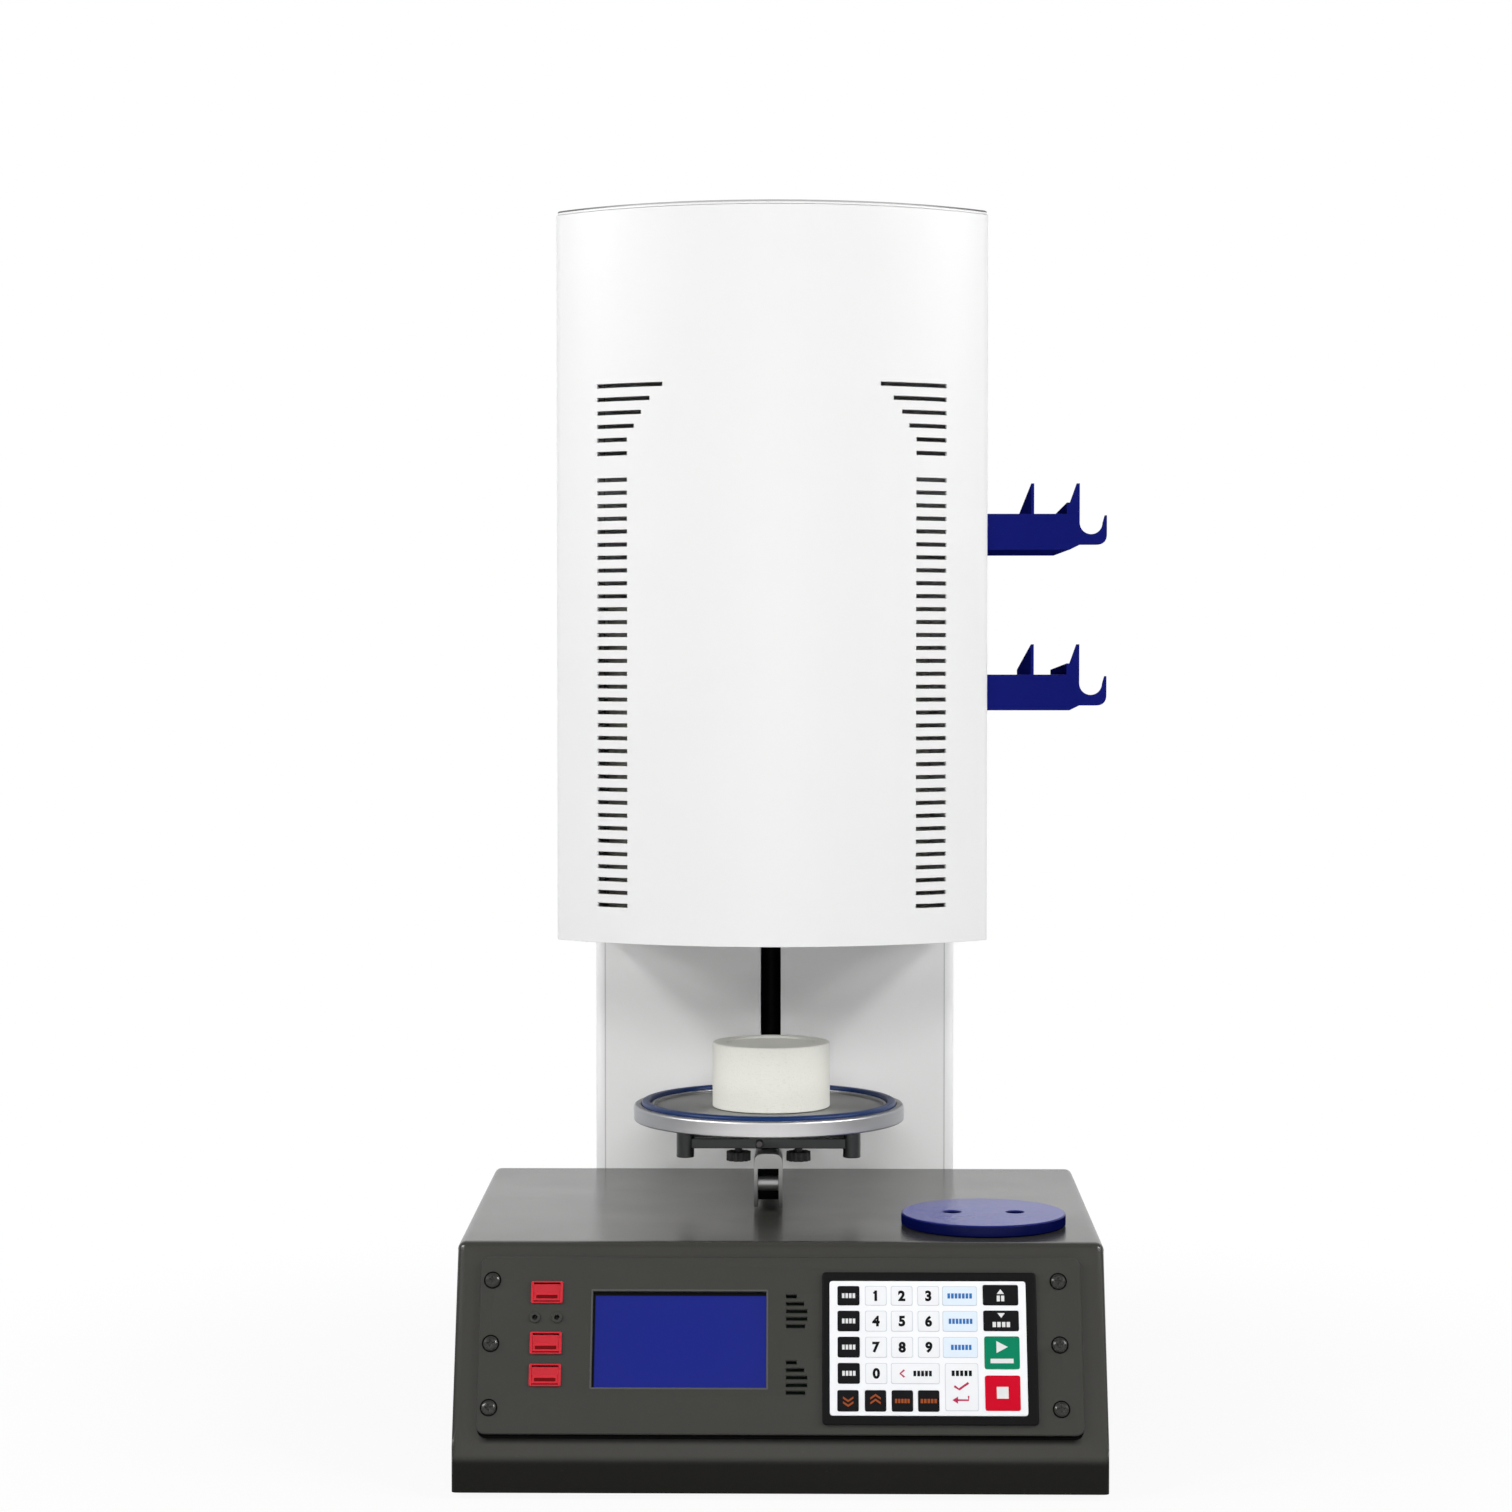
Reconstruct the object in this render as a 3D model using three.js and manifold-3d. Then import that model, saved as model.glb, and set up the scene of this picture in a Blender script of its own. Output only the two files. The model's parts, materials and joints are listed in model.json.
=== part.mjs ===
// A dental laboratory press furnace: console, column, furnace head and motor lift.
// Millimetres, +Z up, the front faces -Y. The origin is under the middle of the whole, on the table.

import * as THREE from 'three';
import { mergeVertices } from 'three/addons/utils/BufferGeometryUtils.js';
import Module from 'manifold-3d';

const wasm = await Module();
wasm.setup();

// Driving dimensions of the console
const consoleWidth = 404;
const consoleRearWidth = 413.5;
const consoleDepth = 349.5;
const consoleHeight = 146;
const consoleCornerRadius = 4;
const consoleEdgeRadius = 5;
const plinthHeight = 20.5;
const frontSetback = 50.1;
const footHeight = 4;
const floorThickness = 2.5;

// Driving dimensions of the column and the furnace head
const towerX = -6;
const columnWidth = 256.5;
const columnDepth = 104;
const columnEdgeRadius = 6;
const columnHeadroom = 20;
const slotWidth = 14.2;
const headWidth = 278;
const headBottom = 333.9;
const headHeight = 469.7;
const headBulge = 56;
const headSideDepth = 330;
const headWall = 1.6;
const lidThickness = 2.5;
const headFloorRecess = 8;
const headFloorThickness = 3;

// Driving dimensions of the lift and what it carries
const liftX = -8.8;
const plateRadius = 90.8;
const plateThickness = 8.4;
const plateTop = 214.1;
const plateToColumn = 143;
const sealRadius = 82.6;
const sealWidth = 6;
const sealHeight = 6.6;
const blockRadius = 39.5;
const blockHeight = 43.5;

// Sheet, gaps and cuts shared by the whole
const sheet = 2;
const seatGap = 0.3;
const overrun = 6;
const weldTolerance = 1e-4;

// Heights and depths that follow from the driving dimensions
const consoleTop = footHeight + consoleHeight;
const floorTop = footHeight + floorThickness;
const columnFront = consoleDepth + seatGap;
const columnRear = columnFront + columnDepth;
const columnBottom = floorTop + seatGap;
const headTop = headBottom + headHeight;
const columnTop = headTop - lidThickness - columnHeadroom;
const headSideY = columnRear - headSideDepth;
const headArcRadius = ((headWidth / 2) ** 2 + headBulge ** 2) / (2 * headBulge);
const headArcY = headSideY - headBulge + headArcRadius;
const axisY = columnFront - plateToColumn;
const plateBottom = plateTop - plateThickness;
const headFloorBottom = headBottom + headFloorRecess;
const headFloorTop = headFloorBottom + headFloorThickness;

// Colours, roughness and metalness of the surfaces
const finishes = {
  whitePaint: { color: 0xe9eaec, roughness: 0.38, metalness: 0 },
  greyPaint: { color: 0x4a4944, roughness: 0.42, metalness: 0 },
  panelPaint: { color: 0x484844, roughness: 0.45, metalness: 0 },
  bluePaint: { color: 0x1a1f72, roughness: 0.35, metalness: 0 },
  blackPlastic: { color: 0x141518, roughness: 0.5, metalness: 0 },
  redPlastic: { color: 0xc02a30, roughness: 0.4, metalness: 0 },
  foil: { color: 0xf0f1f2, roughness: 0.45, metalness: 0 },
  screen: { color: 0x21278a, roughness: 0.15, metalness: 0 },
  rubber: { color: 0x18181a, roughness: 0.85, metalness: 0 },
  blueSilicone: { color: 0x1d4fa0, roughness: 0.5, metalness: 0 },
  aluminium: { color: 0xb9bbbe, roughness: 0.35, metalness: 1 },
  steel: { color: 0x9fa2a6, roughness: 0.3, metalness: 1 },
  zincSheet: { color: 0xa8abae, roughness: 0.4, metalness: 1 },
  blackSteel: { color: 0x1d1f21, roughness: 0.4, metalness: 0.6 },
  brass: { color: 0xb08d4a, roughness: 0.35, metalness: 1 },
  ceramicFibre: { color: 0xe8e8de, roughness: 0.9, metalness: 0 },
  quartz: { color: 0xd9dcdc, roughness: 0.35, metalness: 0 },
  alumina: { color: 0xece7da, roughness: 0.6, metalness: 0 },
  circuitBoard: { color: 0x14532d, roughness: 0.5, metalness: 0 },
};

const furnace = new THREE.Group();

// Solids: a closed mesh with its shared vertices merged, and back again
function toSolid(geometry) {
  const bare = geometry.clone();
  bare.deleteAttribute('normal');
  bare.deleteAttribute('uv');
  const merged = mergeVertices(bare, weldTolerance);
  const corners = merged.index.array;
  const triangles = [];
  for (let i = 0; i < corners.length; i += 3) {
    const [a, b, c] = [corners[i], corners[i + 1], corners[i + 2]];
    if (a !== b && b !== c && c !== a) triangles.push(a, b, c);
  }
  return new wasm.Manifold(new wasm.Mesh({
    numProp: 3,
    vertProperties: new Float32Array(merged.attributes.position.array),
    triVerts: new Uint32Array(triangles),
  }));
}

function toGeometry(solid) {
  const mesh = solid.getMesh();
  const indexed = new THREE.BufferGeometry();
  indexed.setAttribute('position', new THREE.BufferAttribute(new Float32Array(mesh.vertProperties), 3));
  indexed.setIndex(new THREE.BufferAttribute(new Uint32Array(mesh.triVerts), 1));
  const geometry = indexed.toNonIndexed();
  geometry.computeVertexNormals();
  return geometry;
}

function cut(geometry, ...tools) {
  const solid = tools.reduce((rest, tool) => rest.subtract(toSolid(tool)), toSolid(geometry));
  return toGeometry(solid);
}

function join(geometry, ...others) {
  const solid = others.reduce((sum, other) => sum.add(toSolid(other)), toSolid(geometry));
  return toGeometry(solid);
}

function overlapOf(geometry, other) {
  return toGeometry(toSolid(geometry).intersect(toSolid(other)));
}

// Names a piece and hangs it in the furnace or in a turned group
function piece(name, finish, geometry, parent = furnace) {
  const mesh = new THREE.Mesh(geometry, new THREE.MeshStandardMaterial(finishes[finish]));
  mesh.name = name;
  parent.add(mesh);
  return mesh;
}

// Outlines
const point = (x, y) => new THREE.Vector2(x, y);

function roundedShape(points, radii) {
  const shape = new THREE.Shape();
  points.forEach((corner, i) => {
    const before = points[(i + points.length - 1) % points.length];
    const after = points[(i + 1) % points.length];
    const toBefore = before.clone().sub(corner).normalize();
    const toAfter = after.clone().sub(corner).normalize();
    const reach = radii[i] / Math.tan(toBefore.angleTo(toAfter) / 2);
    const start = corner.clone().addScaledVector(toBefore, reach);
    const end = corner.clone().addScaledVector(toAfter, reach);
    if (i === 0) shape.moveTo(start.x, start.y);
    else shape.lineTo(start.x, start.y);
    if (radii[i] > 0) shape.quadraticCurveTo(corner.x, corner.y, end.x, end.y);
  });
  shape.closePath();
  return shape;
}

function rectangle(width, height, radius, centreX = 0, centreY = 0) {
  const [x, y] = [width / 2, height / 2];
  const corners = [point(-x, -y), point(x, -y), point(x, y), point(-x, y)];
  corners.forEach((corner) => corner.add(point(centreX, centreY)));
  return roundedShape(corners, corners.map(() => radius));
}

function circle(radius, centreX = 0, centreY = 0) {
  return new THREE.Shape().absarc(centreX, centreY, radius, 0, Math.PI * 2, false);
}

// Each edge of a counter-clockwise outline moves inwards by its own distance
function insetOutline(points, distances) {
  const edges = points.map((start, i) => {
    const end = points[(i + 1) % points.length];
    const direction = end.clone().sub(start).normalize();
    const inward = point(-direction.y, direction.x);
    return { origin: start.clone().addScaledVector(inward, distances[i]), direction };
  });
  return edges.map((edge, i) => {
    const previous = edges[(i + edges.length - 1) % edges.length];
    const offset = edge.origin.clone().sub(previous.origin);
    const along = offset.cross(edge.direction) / previous.direction.cross(edge.direction);
    return previous.origin.clone().addScaledVector(previous.direction, along);
  });
}

// Solids from outlines
function block(width, depth, height, x, y, z) {
  return new THREE.BoxGeometry(width, depth, height).translate(x, y, z + height / 2);
}

function prism(shape, bottom, top, curveSegments = 6) {
  const options = { depth: top - bottom, bevelEnabled: false, curveSegments };
  return new THREE.ExtrudeGeometry(shape, options).translate(0, 0, bottom);
}

// A prism whose upper and lower edges have a chamfer
function softPrism(shape, bottom, top, chamfer, curveSegments = 6) {
  const options = {
    depth: top - bottom - 2 * chamfer,
    bevelThickness: chamfer,
    bevelSize: chamfer,
    bevelOffset: -chamfer,
    bevelSegments: 1,
    curveSegments,
  };
  return new THREE.ExtrudeGeometry(shape, options).translate(0, 0, bottom + chamfer);
}

// An outline in Y and Z, carried along X
function prismAlongX(shape, left, right, curveSegments = 6) {
  const axes = new THREE.Matrix4().makeBasis(
    new THREE.Vector3(0, 1, 0), new THREE.Vector3(0, 0, 1), new THREE.Vector3(1, 0, 0));
  return prism(shape, left, right, curveSegments).applyMatrix4(axes);
}

// An outline in X and Z, carried along Y
function prismAlongY(shape, front, rear, curveSegments = 6) {
  return prism(shape, -rear, -front, curveSegments).rotateX(Math.PI / 2);
}

function signedVolume(geometry) {
  const flat = geometry.index ? geometry.toNonIndexed() : geometry;
  const place = flat.attributes.position;
  const [a, b, c] = [new THREE.Vector3(), new THREE.Vector3(), new THREE.Vector3()];
  let volume = 0;
  for (let i = 0; i < place.count; i += 3) {
    a.fromBufferAttribute(place, i);
    b.fromBufferAttribute(place, i + 1);
    c.fromBufferAttribute(place, i + 2);
    volume += a.dot(b.cross(c)) / 6;
  }
  return volume;
}

// A profile of radius and height, turned about the vertical, with its faces outwards
function turned(profile, segments, closed = false) {
  const points = profile.map(([radius, height]) => point(radius, height));
  if (closed) points.push(points[0].clone());
  const geometry = new THREE.LatheGeometry(points, segments).rotateX(Math.PI / 2);
  if (signedVolume(geometry) < 0) {
    const corners = geometry.index.array;
    for (let i = 0; i < corners.length; i += 3) {
      [corners[i + 1], corners[i + 2]] = [corners[i + 2], corners[i + 1]];
    }
  }
  return toGeometry(toSolid(geometry));
}

function cylinder(radius, bottom, top, segments) {
  return turned([[0, bottom], [radius, bottom], [radius, top], [0, top]], segments);
}

// The console shell: a rounded plan cut by a side profile, hollow and open below
const frontSlope = Math.atan2(frontSetback, consoleHeight - plinthHeight);
const slopeLength = Math.hypot(frontSetback, consoleHeight - plinthHeight);

const consolePlan = [
  point(-consoleWidth / 2, 0),
  point(consoleWidth / 2, 0),
  point(consoleRearWidth / 2, consoleDepth),
  point(-consoleRearWidth / 2, consoleDepth),
];

const consoleProfile = [
  point(0, footHeight),
  point(consoleDepth, footHeight),
  point(consoleDepth, consoleTop),
  point(frontSetback, consoleTop),
  point(0, footHeight + plinthHeight),
];

function consoleBody(planInset, profileInsets, planRadius, edgeRadius, top) {
  const plan = insetOutline(consolePlan, consolePlan.map(() => planInset));
  const profile = insetOutline(consoleProfile, profileInsets);
  const planShape = roundedShape(plan, plan.map(() => planRadius));
  const profileShape = roundedShape(profile, [0, 0, edgeRadius, edgeRadius, edgeRadius]);
  const halfWidth = Math.max(consoleWidth, consoleRearWidth) / 2 + overrun;
  return overlapOf(
    prism(planShape, -overrun, top + overrun),
    prismAlongX(profileShape, -halfWidth, halfWidth, 4),
  );
}

// The panel lies on the slanted front: its own X, up the slope and out of the face
const panelGroup = new THREE.Group();
const panelLift = 2.5;
panelGroup.position.set(0, frontSetback / 2 + panelLift * Math.sin(frontSlope),
  (footHeight + plinthHeight + consoleTop) / 2 + panelLift * Math.cos(frontSlope));
panelGroup.rotation.x = Math.PI / 2 - frontSlope;
panelGroup.updateMatrix();
furnace.add(panelGroup);

// Sizes and places on the panel
const panelMargin = 15;
const panelWidth = consoleWidth - 2 * panelMargin;
const panelHeight = 110;
const panelThickness = 4;
const panelCornerRadius = 6;
const panelChamfer = 0.6;
const panelBack = seatGap;
const panelFace = panelBack + panelThickness;

const screwHead = {
  radius: 4.3,
  crownShare: 0.7,
  height: 2,
  slotWidth: 1,
  slotDepth: 1,
  shankRadius: 1.9,
  reach: 5,
};
const screwHoleClearance = 0.5;
const screwLeftInset = 7.5;
const screwRightInset = 14;
const screwLeftX = -panelWidth / 2 + screwLeftInset;
const screwRightX = panelWidth / 2 - screwRightInset;
const screwUpperRise = 40;
const screwMiddleRise = 0.5;
const screwLowerRise = -39;

const switchInset = 41.7;
const switchX = -panelWidth / 2 + switchInset;
const switchUpperRise = 32.4;
const switchMiddleRise = 0.8;
const switchLowerRise = -19;
const rockerSwitch = {
  width: 19.8,
  height: 13.8,
  flange: 1,
  cornerRadius: 1,
  neckInset: 1,
  backDepth: 13,
  wellWidth: 16.6,
  wellHeight: 11.9,
  wellDepth: 5.4,
  pivotDepth: 2,
  rockerWidth: 15.9,
  rockerCrown: 2.5,
  rockerWaist: 1.3,
  rockerHeight: 10.2,
  rockerFoot: 8.6,
  rockerFootDepth: 2,
  restTilt: THREE.MathUtils.degToRad(7),
};

const jackRise = 16.7;
const jackLeftReach = 7.2;
const jackRightReach = 6.5;
const jack = { rimRadius: 3.4, rimHeight: 0.8, bodyRadius: 2.6, backDepth: 8, boreRadius: 1.6, boreDepth: 7 };

const keypad = {
  inset: 28,
  rise: -2,
  width: 133,
  height: 94.3,
  cornerRadius: 2.5,
  frame: 2.2,
  foilWidth: 122,
  foilHeight: 83.3,
  foilRadius: 2,
  foilShift: 1,
  pocket: 1.2,
};
keypad.x = panelWidth / 2 - keypad.inset - keypad.width / 2;

const soundSlot = { gap: 9.3, width: 13, height: 1.9, pitch: 4.65, upperRise: 21, lowerRise: -20 };
const soundSlotShares = [0.9, 1, 1, 0.85, 0.5];
soundSlot.left = keypad.x - keypad.width / 2 - soundSlot.gap - soundSlot.width;

// The window fills what is left between the switches and the sound slots
const display = {
  leftGap: 28.8,
  rightGap: 12.4,
  rise: 3.5,
  height: 59.5,
  margin: 4,
  glassThickness: 1.5,
  moduleThickness: 9,
};
display.left = switchX + display.leftGap;
display.right = soundSlot.left - display.rightGap;
display.width = display.right - display.left;
display.x = (display.left + display.right) / 2;

const openingMargin = 9;
const board = { leftReach: 18.5, rightReach: 63.7, height: 76, thickness: 1.6 };

const switchRises = [switchUpperRise, switchMiddleRise, switchLowerRise];
const screwRises = [screwUpperRise, screwMiddleRise, screwLowerRise];
const jackPlaces = [switchX - jackLeftReach, switchX + jackRightReach];

function screwPlaces() {
  return [screwLeftX, screwRightX].flatMap((x) => screwRises.map((rise) => point(x, rise)));
}

// Sizes of what passes through the rear wall of the console
// They sit halfway between the column and the console's corners
const rearFittingHeight = 66;
const inlet = {
  x: (towerX - columnWidth / 2 - consoleRearWidth / 2) / 2,
  width: 30,
  height: 23,
  flange: 2,
  neckWidth: 26.6,
  neckHeight: 19.6,
  cornerRadius: 2,
  backDepth: 17,
  socketWidth: 23,
  socketHeight: 16,
  socketDepth: 15,
  bladeWidth: 2,
  bladeHeight: 4,
  bladeLength: 9,
  bladeSpread: 7,
  bladeDrop: 1.5,
  earthRise: 2.5,
};
const fuse = { x: inlet.x, rise: 32, capRadius: 7, capLength: 9, neckRadius: 5.6, backDepth: 24, slot: 1.4 };
const hosePort = {
  x: (towerX + columnWidth / 2 + consoleRearWidth / 2) / 2,
  baseRadius: 7,
  baseLength: 6,
  barbRadius: 4.6,
  rootRadius: 3.6,
  barbPitch: 5,
  barbCount: 3,
  neckRadius: 4.4,
  backDepth: 12,
  boreRadius: 2,
};
const fittingClearance = 0.4;

function makeConsoleShell() {
  const outer = consoleBody(0, [0, 0, 0, 0, 0], consoleCornerRadius, consoleEdgeRadius, consoleTop);
  const openBelow = -overrun;
  const innerEdge = consoleEdgeRadius - sheet;
  const inner = consoleBody(sheet, [openBelow, sheet, sheet, sheet, sheet],
    consoleCornerRadius - sheet, innerEdge, consoleTop);
  const openingWidth = panelWidth - 2 * openingMargin - 4 * screwHead.radius;
  const openingHeight = panelHeight - 2 * openingMargin;
  const openingX = (screwLeftX + screwRightX) / 2;
  const opening = prism(rectangle(openingWidth, openingHeight, panelCornerRadius, openingX, 0),
    -overrun, overrun, 3).applyMatrix4(panelGroup.matrix);
  const screwHoles = screwPlaces().map((place) =>
    cylinder(screwHead.shankRadius + screwHoleClearance, -overrun, overrun, 12)
      .translate(place.x, place.y, 0)
      .applyMatrix4(panelGroup.matrix));
  const floorNotch = block(columnWidth + 2 * seatGap, 2 * overrun, floorTop + 2 * seatGap,
    towerX, consoleDepth, 0);
  const wallCuts = [
    prismAlongY(rectangle(inlet.neckWidth + 2 * fittingClearance, inlet.neckHeight + 2 * fittingClearance,
      inlet.cornerRadius, inlet.x, rearFittingHeight), consoleDepth - overrun, consoleDepth + overrun, 2),
    prismAlongY(circle(fuse.neckRadius + fittingClearance, fuse.x, rearFittingHeight + fuse.rise),
      consoleDepth - overrun, consoleDepth + overrun, 8),
    prismAlongY(circle(hosePort.neckRadius + fittingClearance, hosePort.x, rearFittingHeight),
      consoleDepth - overrun, consoleDepth + overrun, 8),
  ];
  piece('console_shell', 'greyPaint', cut(outer, inner, opening, ...screwHoles, floorNotch, ...wallCuts));
}

// The floor plate carries the console, the column and the feet
function makeFloor() {
  const plan = insetOutline(consolePlan, consolePlan.map(() => sheet + seatGap));
  const consolePart = prism(roundedShape(plan, plan.map(() => consoleCornerRadius - sheet)),
    footHeight, floorTop, 3);
  const columnPartFront = consoleDepth - sheet - 2 * seatGap;
  const columnPart = block(columnWidth, columnRear - columnPartFront, floorThickness,
    towerX, (columnRear + columnPartFront) / 2, footHeight);
  piece('floor_plate', 'zincSheet', join(consolePart, columnPart));
}

const foot = { radius: 12, topRadius: 10.5, chamfer: 0.8, inset: 34, frontY: 34, rearY: 24 };

function makeFeet() {
  const rows = [
    { y: foot.frontY, spread: consoleWidth / 2 - foot.inset, x: 0, name: 'front' },
    { y: columnRear - foot.rearY, spread: columnWidth / 2 - foot.inset, x: towerX, name: 'rear' },
  ];
  for (const row of rows) {
    for (const [side, sign] of [['left', -1], ['right', 1]]) {
      const shape = turned([
        [0, 0],
        [foot.radius - foot.chamfer, 0],
        [foot.radius, foot.chamfer],
        [foot.topRadius, footHeight - seatGap],
        [0, footHeight - seatGap],
      ], 24);
      piece(`foot_${row.name}_${side}`, 'rubber', shape.translate(row.x + sign * row.spread, row.y, 0));
    }
  }
}

function makePanel() {
  const shape = rectangle(panelWidth, panelHeight, panelCornerRadius);
  const neckWidth = rockerSwitch.width - 2 * rockerSwitch.neckInset + 2 * seatGap;
  const neckHeight = rockerSwitch.height - 2 * rockerSwitch.neckInset + 2 * seatGap;
  for (const rise of switchRises) shape.holes.push(rectangle(neckWidth, neckHeight, 0, switchX, rise));
  for (const x of jackPlaces) shape.holes.push(circle(jack.bodyRadius + seatGap, x, jackRise));
  for (const place of screwPlaces()) {
    shape.holes.push(circle(screwHead.shankRadius + screwHoleClearance, place.x, place.y));
  }
  for (const groupRise of [soundSlot.upperRise, soundSlot.lowerRise]) {
    soundSlotShares.forEach((share, i) => {
      const rise = groupRise + (i - (soundSlotShares.length - 1) / 2) * soundSlot.pitch;
      const length = share * soundSlot.width;
      shape.holes.push(rectangle(length, soundSlot.height, 0, soundSlot.left + length / 2, rise));
    });
  }
  shape.holes.push(rectangle(display.width, display.height, 0, display.x, display.rise));
  const plate = softPrism(shape, panelBack, panelFace, panelChamfer, 5);
  piece('front_panel', 'panelPaint', plate, panelGroup);
}

function makePanelScrews() {
  screwPlaces().forEach((place, i) => {
    const seat = panelFace + seatGap;
    const profile = [
      [0, seat - screwHead.reach - panelThickness],
      [screwHead.shankRadius, seat - screwHead.reach - panelThickness],
      [screwHead.shankRadius, seat],
      [screwHead.radius, seat],
      [screwHead.radius, seat + screwHead.height / 2],
      [screwHead.radius * screwHead.crownShare, seat + screwHead.height],
      [0, seat + screwHead.height],
    ];
    const slotBottom = seat + screwHead.height - screwHead.slotDepth;
    const slotLength = screwHead.radius;
    const cross = [
      block(slotLength, screwHead.slotWidth, overrun, 0, 0, slotBottom),
      block(screwHead.slotWidth, slotLength, overrun, 0, 0, slotBottom),
    ];
    const shape = cut(turned(profile, 16), ...cross);
    piece(`panel_screw_${i + 1}`, 'blackSteel', shape.translate(place.x, place.y, 0), panelGroup);
  });
}

// A rocker switch: a flanged frame with a well, and the rocker that tilts in it
function makeSwitches() {
  const s = rockerSwitch;
  const flangeBottom = panelFace + seatGap;
  const flangeTop = flangeBottom + s.flange;
  const pivotRise = flangeTop - s.pivotDepth;
  switchRises.forEach((rise, i) => {
    const flange = softPrism(rectangle(s.width, s.height, s.cornerRadius), flangeBottom, flangeTop,
      s.flange / 3, 2);
    const neck = block(s.width - 2 * s.neckInset, s.height - 2 * s.neckInset, s.backDepth + s.flange / 2,
      0, 0, flangeBottom - s.backDepth);
    const well = block(s.wellWidth, s.wellHeight, s.wellDepth + overrun, 0, 0, flangeTop - s.wellDepth);
    const frame = cut(join(flange, neck), well);
    piece(`switch_frame_${i + 1}`, 'redPlastic', frame.translate(switchX, rise, 0), panelGroup);

    const outline = new THREE.Shape([
      point(-s.rockerHeight / 2, s.rockerCrown),
      point(-s.rockerFoot / 2, -s.rockerFootDepth),
      point(s.rockerFoot / 2, -s.rockerFootDepth),
      point(s.rockerHeight / 2, s.rockerCrown),
      point(0, s.rockerWaist),
    ]);
    const rocker = prismAlongX(outline, -s.rockerWidth / 2, s.rockerWidth / 2).rotateX(s.restTilt);
    piece(`switch_rocker_${i + 1}`, 'redPlastic', rocker.translate(switchX, rise, pivotRise), panelGroup);
  });
}

function makeJacks() {
  jackPlaces.forEach((x, i) => {
    const seat = panelFace + seatGap;
    const top = seat + jack.rimHeight;
    const shape = turned([
      [0, seat - panelThickness - jack.backDepth],
      [jack.bodyRadius, seat - panelThickness - jack.backDepth],
      [jack.bodyRadius, seat],
      [jack.rimRadius, seat],
      [jack.rimRadius, top],
      [jack.boreRadius, top],
      [jack.boreRadius, top - jack.boreDepth],
      [0, top - jack.boreDepth],
    ], 20);
    piece(`jack_${i + 1}`, 'blackPlastic', shape.translate(x, jackRise, 0), panelGroup);
  });
}

// The display: a glass behind the panel's window, its module, and the control board
function makeDisplay() {
  const glassTop = panelBack - seatGap;
  const glassBottom = glassTop - display.glassThickness;
  const moduleTop = glassBottom - seatGap;
  const moduleBottom = moduleTop - display.moduleThickness;
  const width = display.width + 2 * display.margin;
  const height = display.height + 2 * display.margin;
  piece('display_glass', 'screen',
    prism(rectangle(width, height, 0, display.x, display.rise), glassBottom, glassTop), panelGroup);
  piece('display_module', 'blackPlastic',
    prism(rectangle(width, height, 0, display.x, display.rise), moduleBottom, moduleTop), panelGroup);
  const boardTop = moduleBottom - seatGap;
  const boardWidth = display.width + board.leftReach + board.rightReach;
  const boardX = display.x + (board.rightReach - board.leftReach) / 2;
  piece('control_board', 'circuitBoard',
    prism(rectangle(boardWidth, board.height, 0, boardX, display.rise), boardTop - board.thickness, boardTop),
    panelGroup);
}

function makeKeypad() {
  const bottom = panelFace + seatGap;
  const top = bottom + keypad.frame;
  const frame = softPrism(rectangle(keypad.width, keypad.height, keypad.cornerRadius, keypad.x, keypad.rise),
    bottom, top, panelChamfer, 3);
  const foilX = keypad.x - keypad.foilShift;
  const pocket = prism(rectangle(keypad.foilWidth + 2 * seatGap, keypad.foilHeight + 2 * seatGap,
    keypad.foilRadius, foilX, keypad.rise), top - keypad.pocket, top + overrun, 3);
  piece('keypad_frame', 'blackPlastic', cut(frame, pocket), panelGroup);
  const foil = prism(rectangle(keypad.foilWidth, keypad.foilHeight, keypad.foilRadius, foilX, keypad.rise),
    top - keypad.pocket + seatGap, top, 3);
  piece('keypad_foil', 'foil', foil, panelGroup);
}

// The power transformer on the floor: a stacked core with its winding
const transformer = {
  inset: 94,
  y: 235,
  coreWidth: 96,
  coreDepth: 46,
  coreHeight: 80,
  coilWidth: 62,
  coilDepth: 74,
  coilHeight: 48,
};

function makeTransformer() {
  const t = transformer;
  const x = t.inset - consoleWidth / 2;
  const bottom = floorTop + seatGap;
  const core = block(t.coreWidth, t.coreDepth, t.coreHeight, x, t.y, bottom);
  const coilBottom = bottom + (t.coreHeight - t.coilHeight) / 2;
  const coil = block(t.coilWidth, t.coilDepth, t.coilHeight, x, t.y, coilBottom);
  piece('power_transformer', 'blackSteel', join(core, coil));
}

function makeInlet() {
  const seat = consoleDepth + seatGap;
  const rear = seat + inlet.flange;
  const place = [inlet.x, rearFittingHeight];
  const flange = prismAlongY(rectangle(inlet.width, inlet.height, inlet.cornerRadius, ...place), seat, rear, 3);
  const neck = prismAlongY(rectangle(inlet.neckWidth, inlet.neckHeight, inlet.cornerRadius, ...place),
    seat - inlet.backDepth, rear - inlet.flange / 2, 3);
  const socket = prismAlongY(rectangle(inlet.socketWidth, inlet.socketHeight, inlet.cornerRadius, ...place),
    rear - inlet.socketDepth, rear + overrun, 2);
  const bladeRoot = rear - inlet.socketDepth - inlet.bladeWidth / 2;
  const blade = (x, z) => prismAlongY(rectangle(inlet.bladeWidth, inlet.bladeHeight, 0,
    inlet.x + x, rearFittingHeight + z), bladeRoot, bladeRoot + inlet.bladeLength);
  piece('mains_inlet', 'blackPlastic', join(
    cut(join(flange, neck), socket),
    blade(-inlet.bladeSpread, -inlet.bladeDrop),
    blade(inlet.bladeSpread, -inlet.bladeDrop),
    blade(0, inlet.earthRise),
  ));
}

// Turned parts that point out of the rear wall
function placedOnRearWall(geometry, x, z) {
  return geometry.rotateX(-Math.PI / 2).translate(x, consoleDepth + seatGap, z);
}

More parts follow.
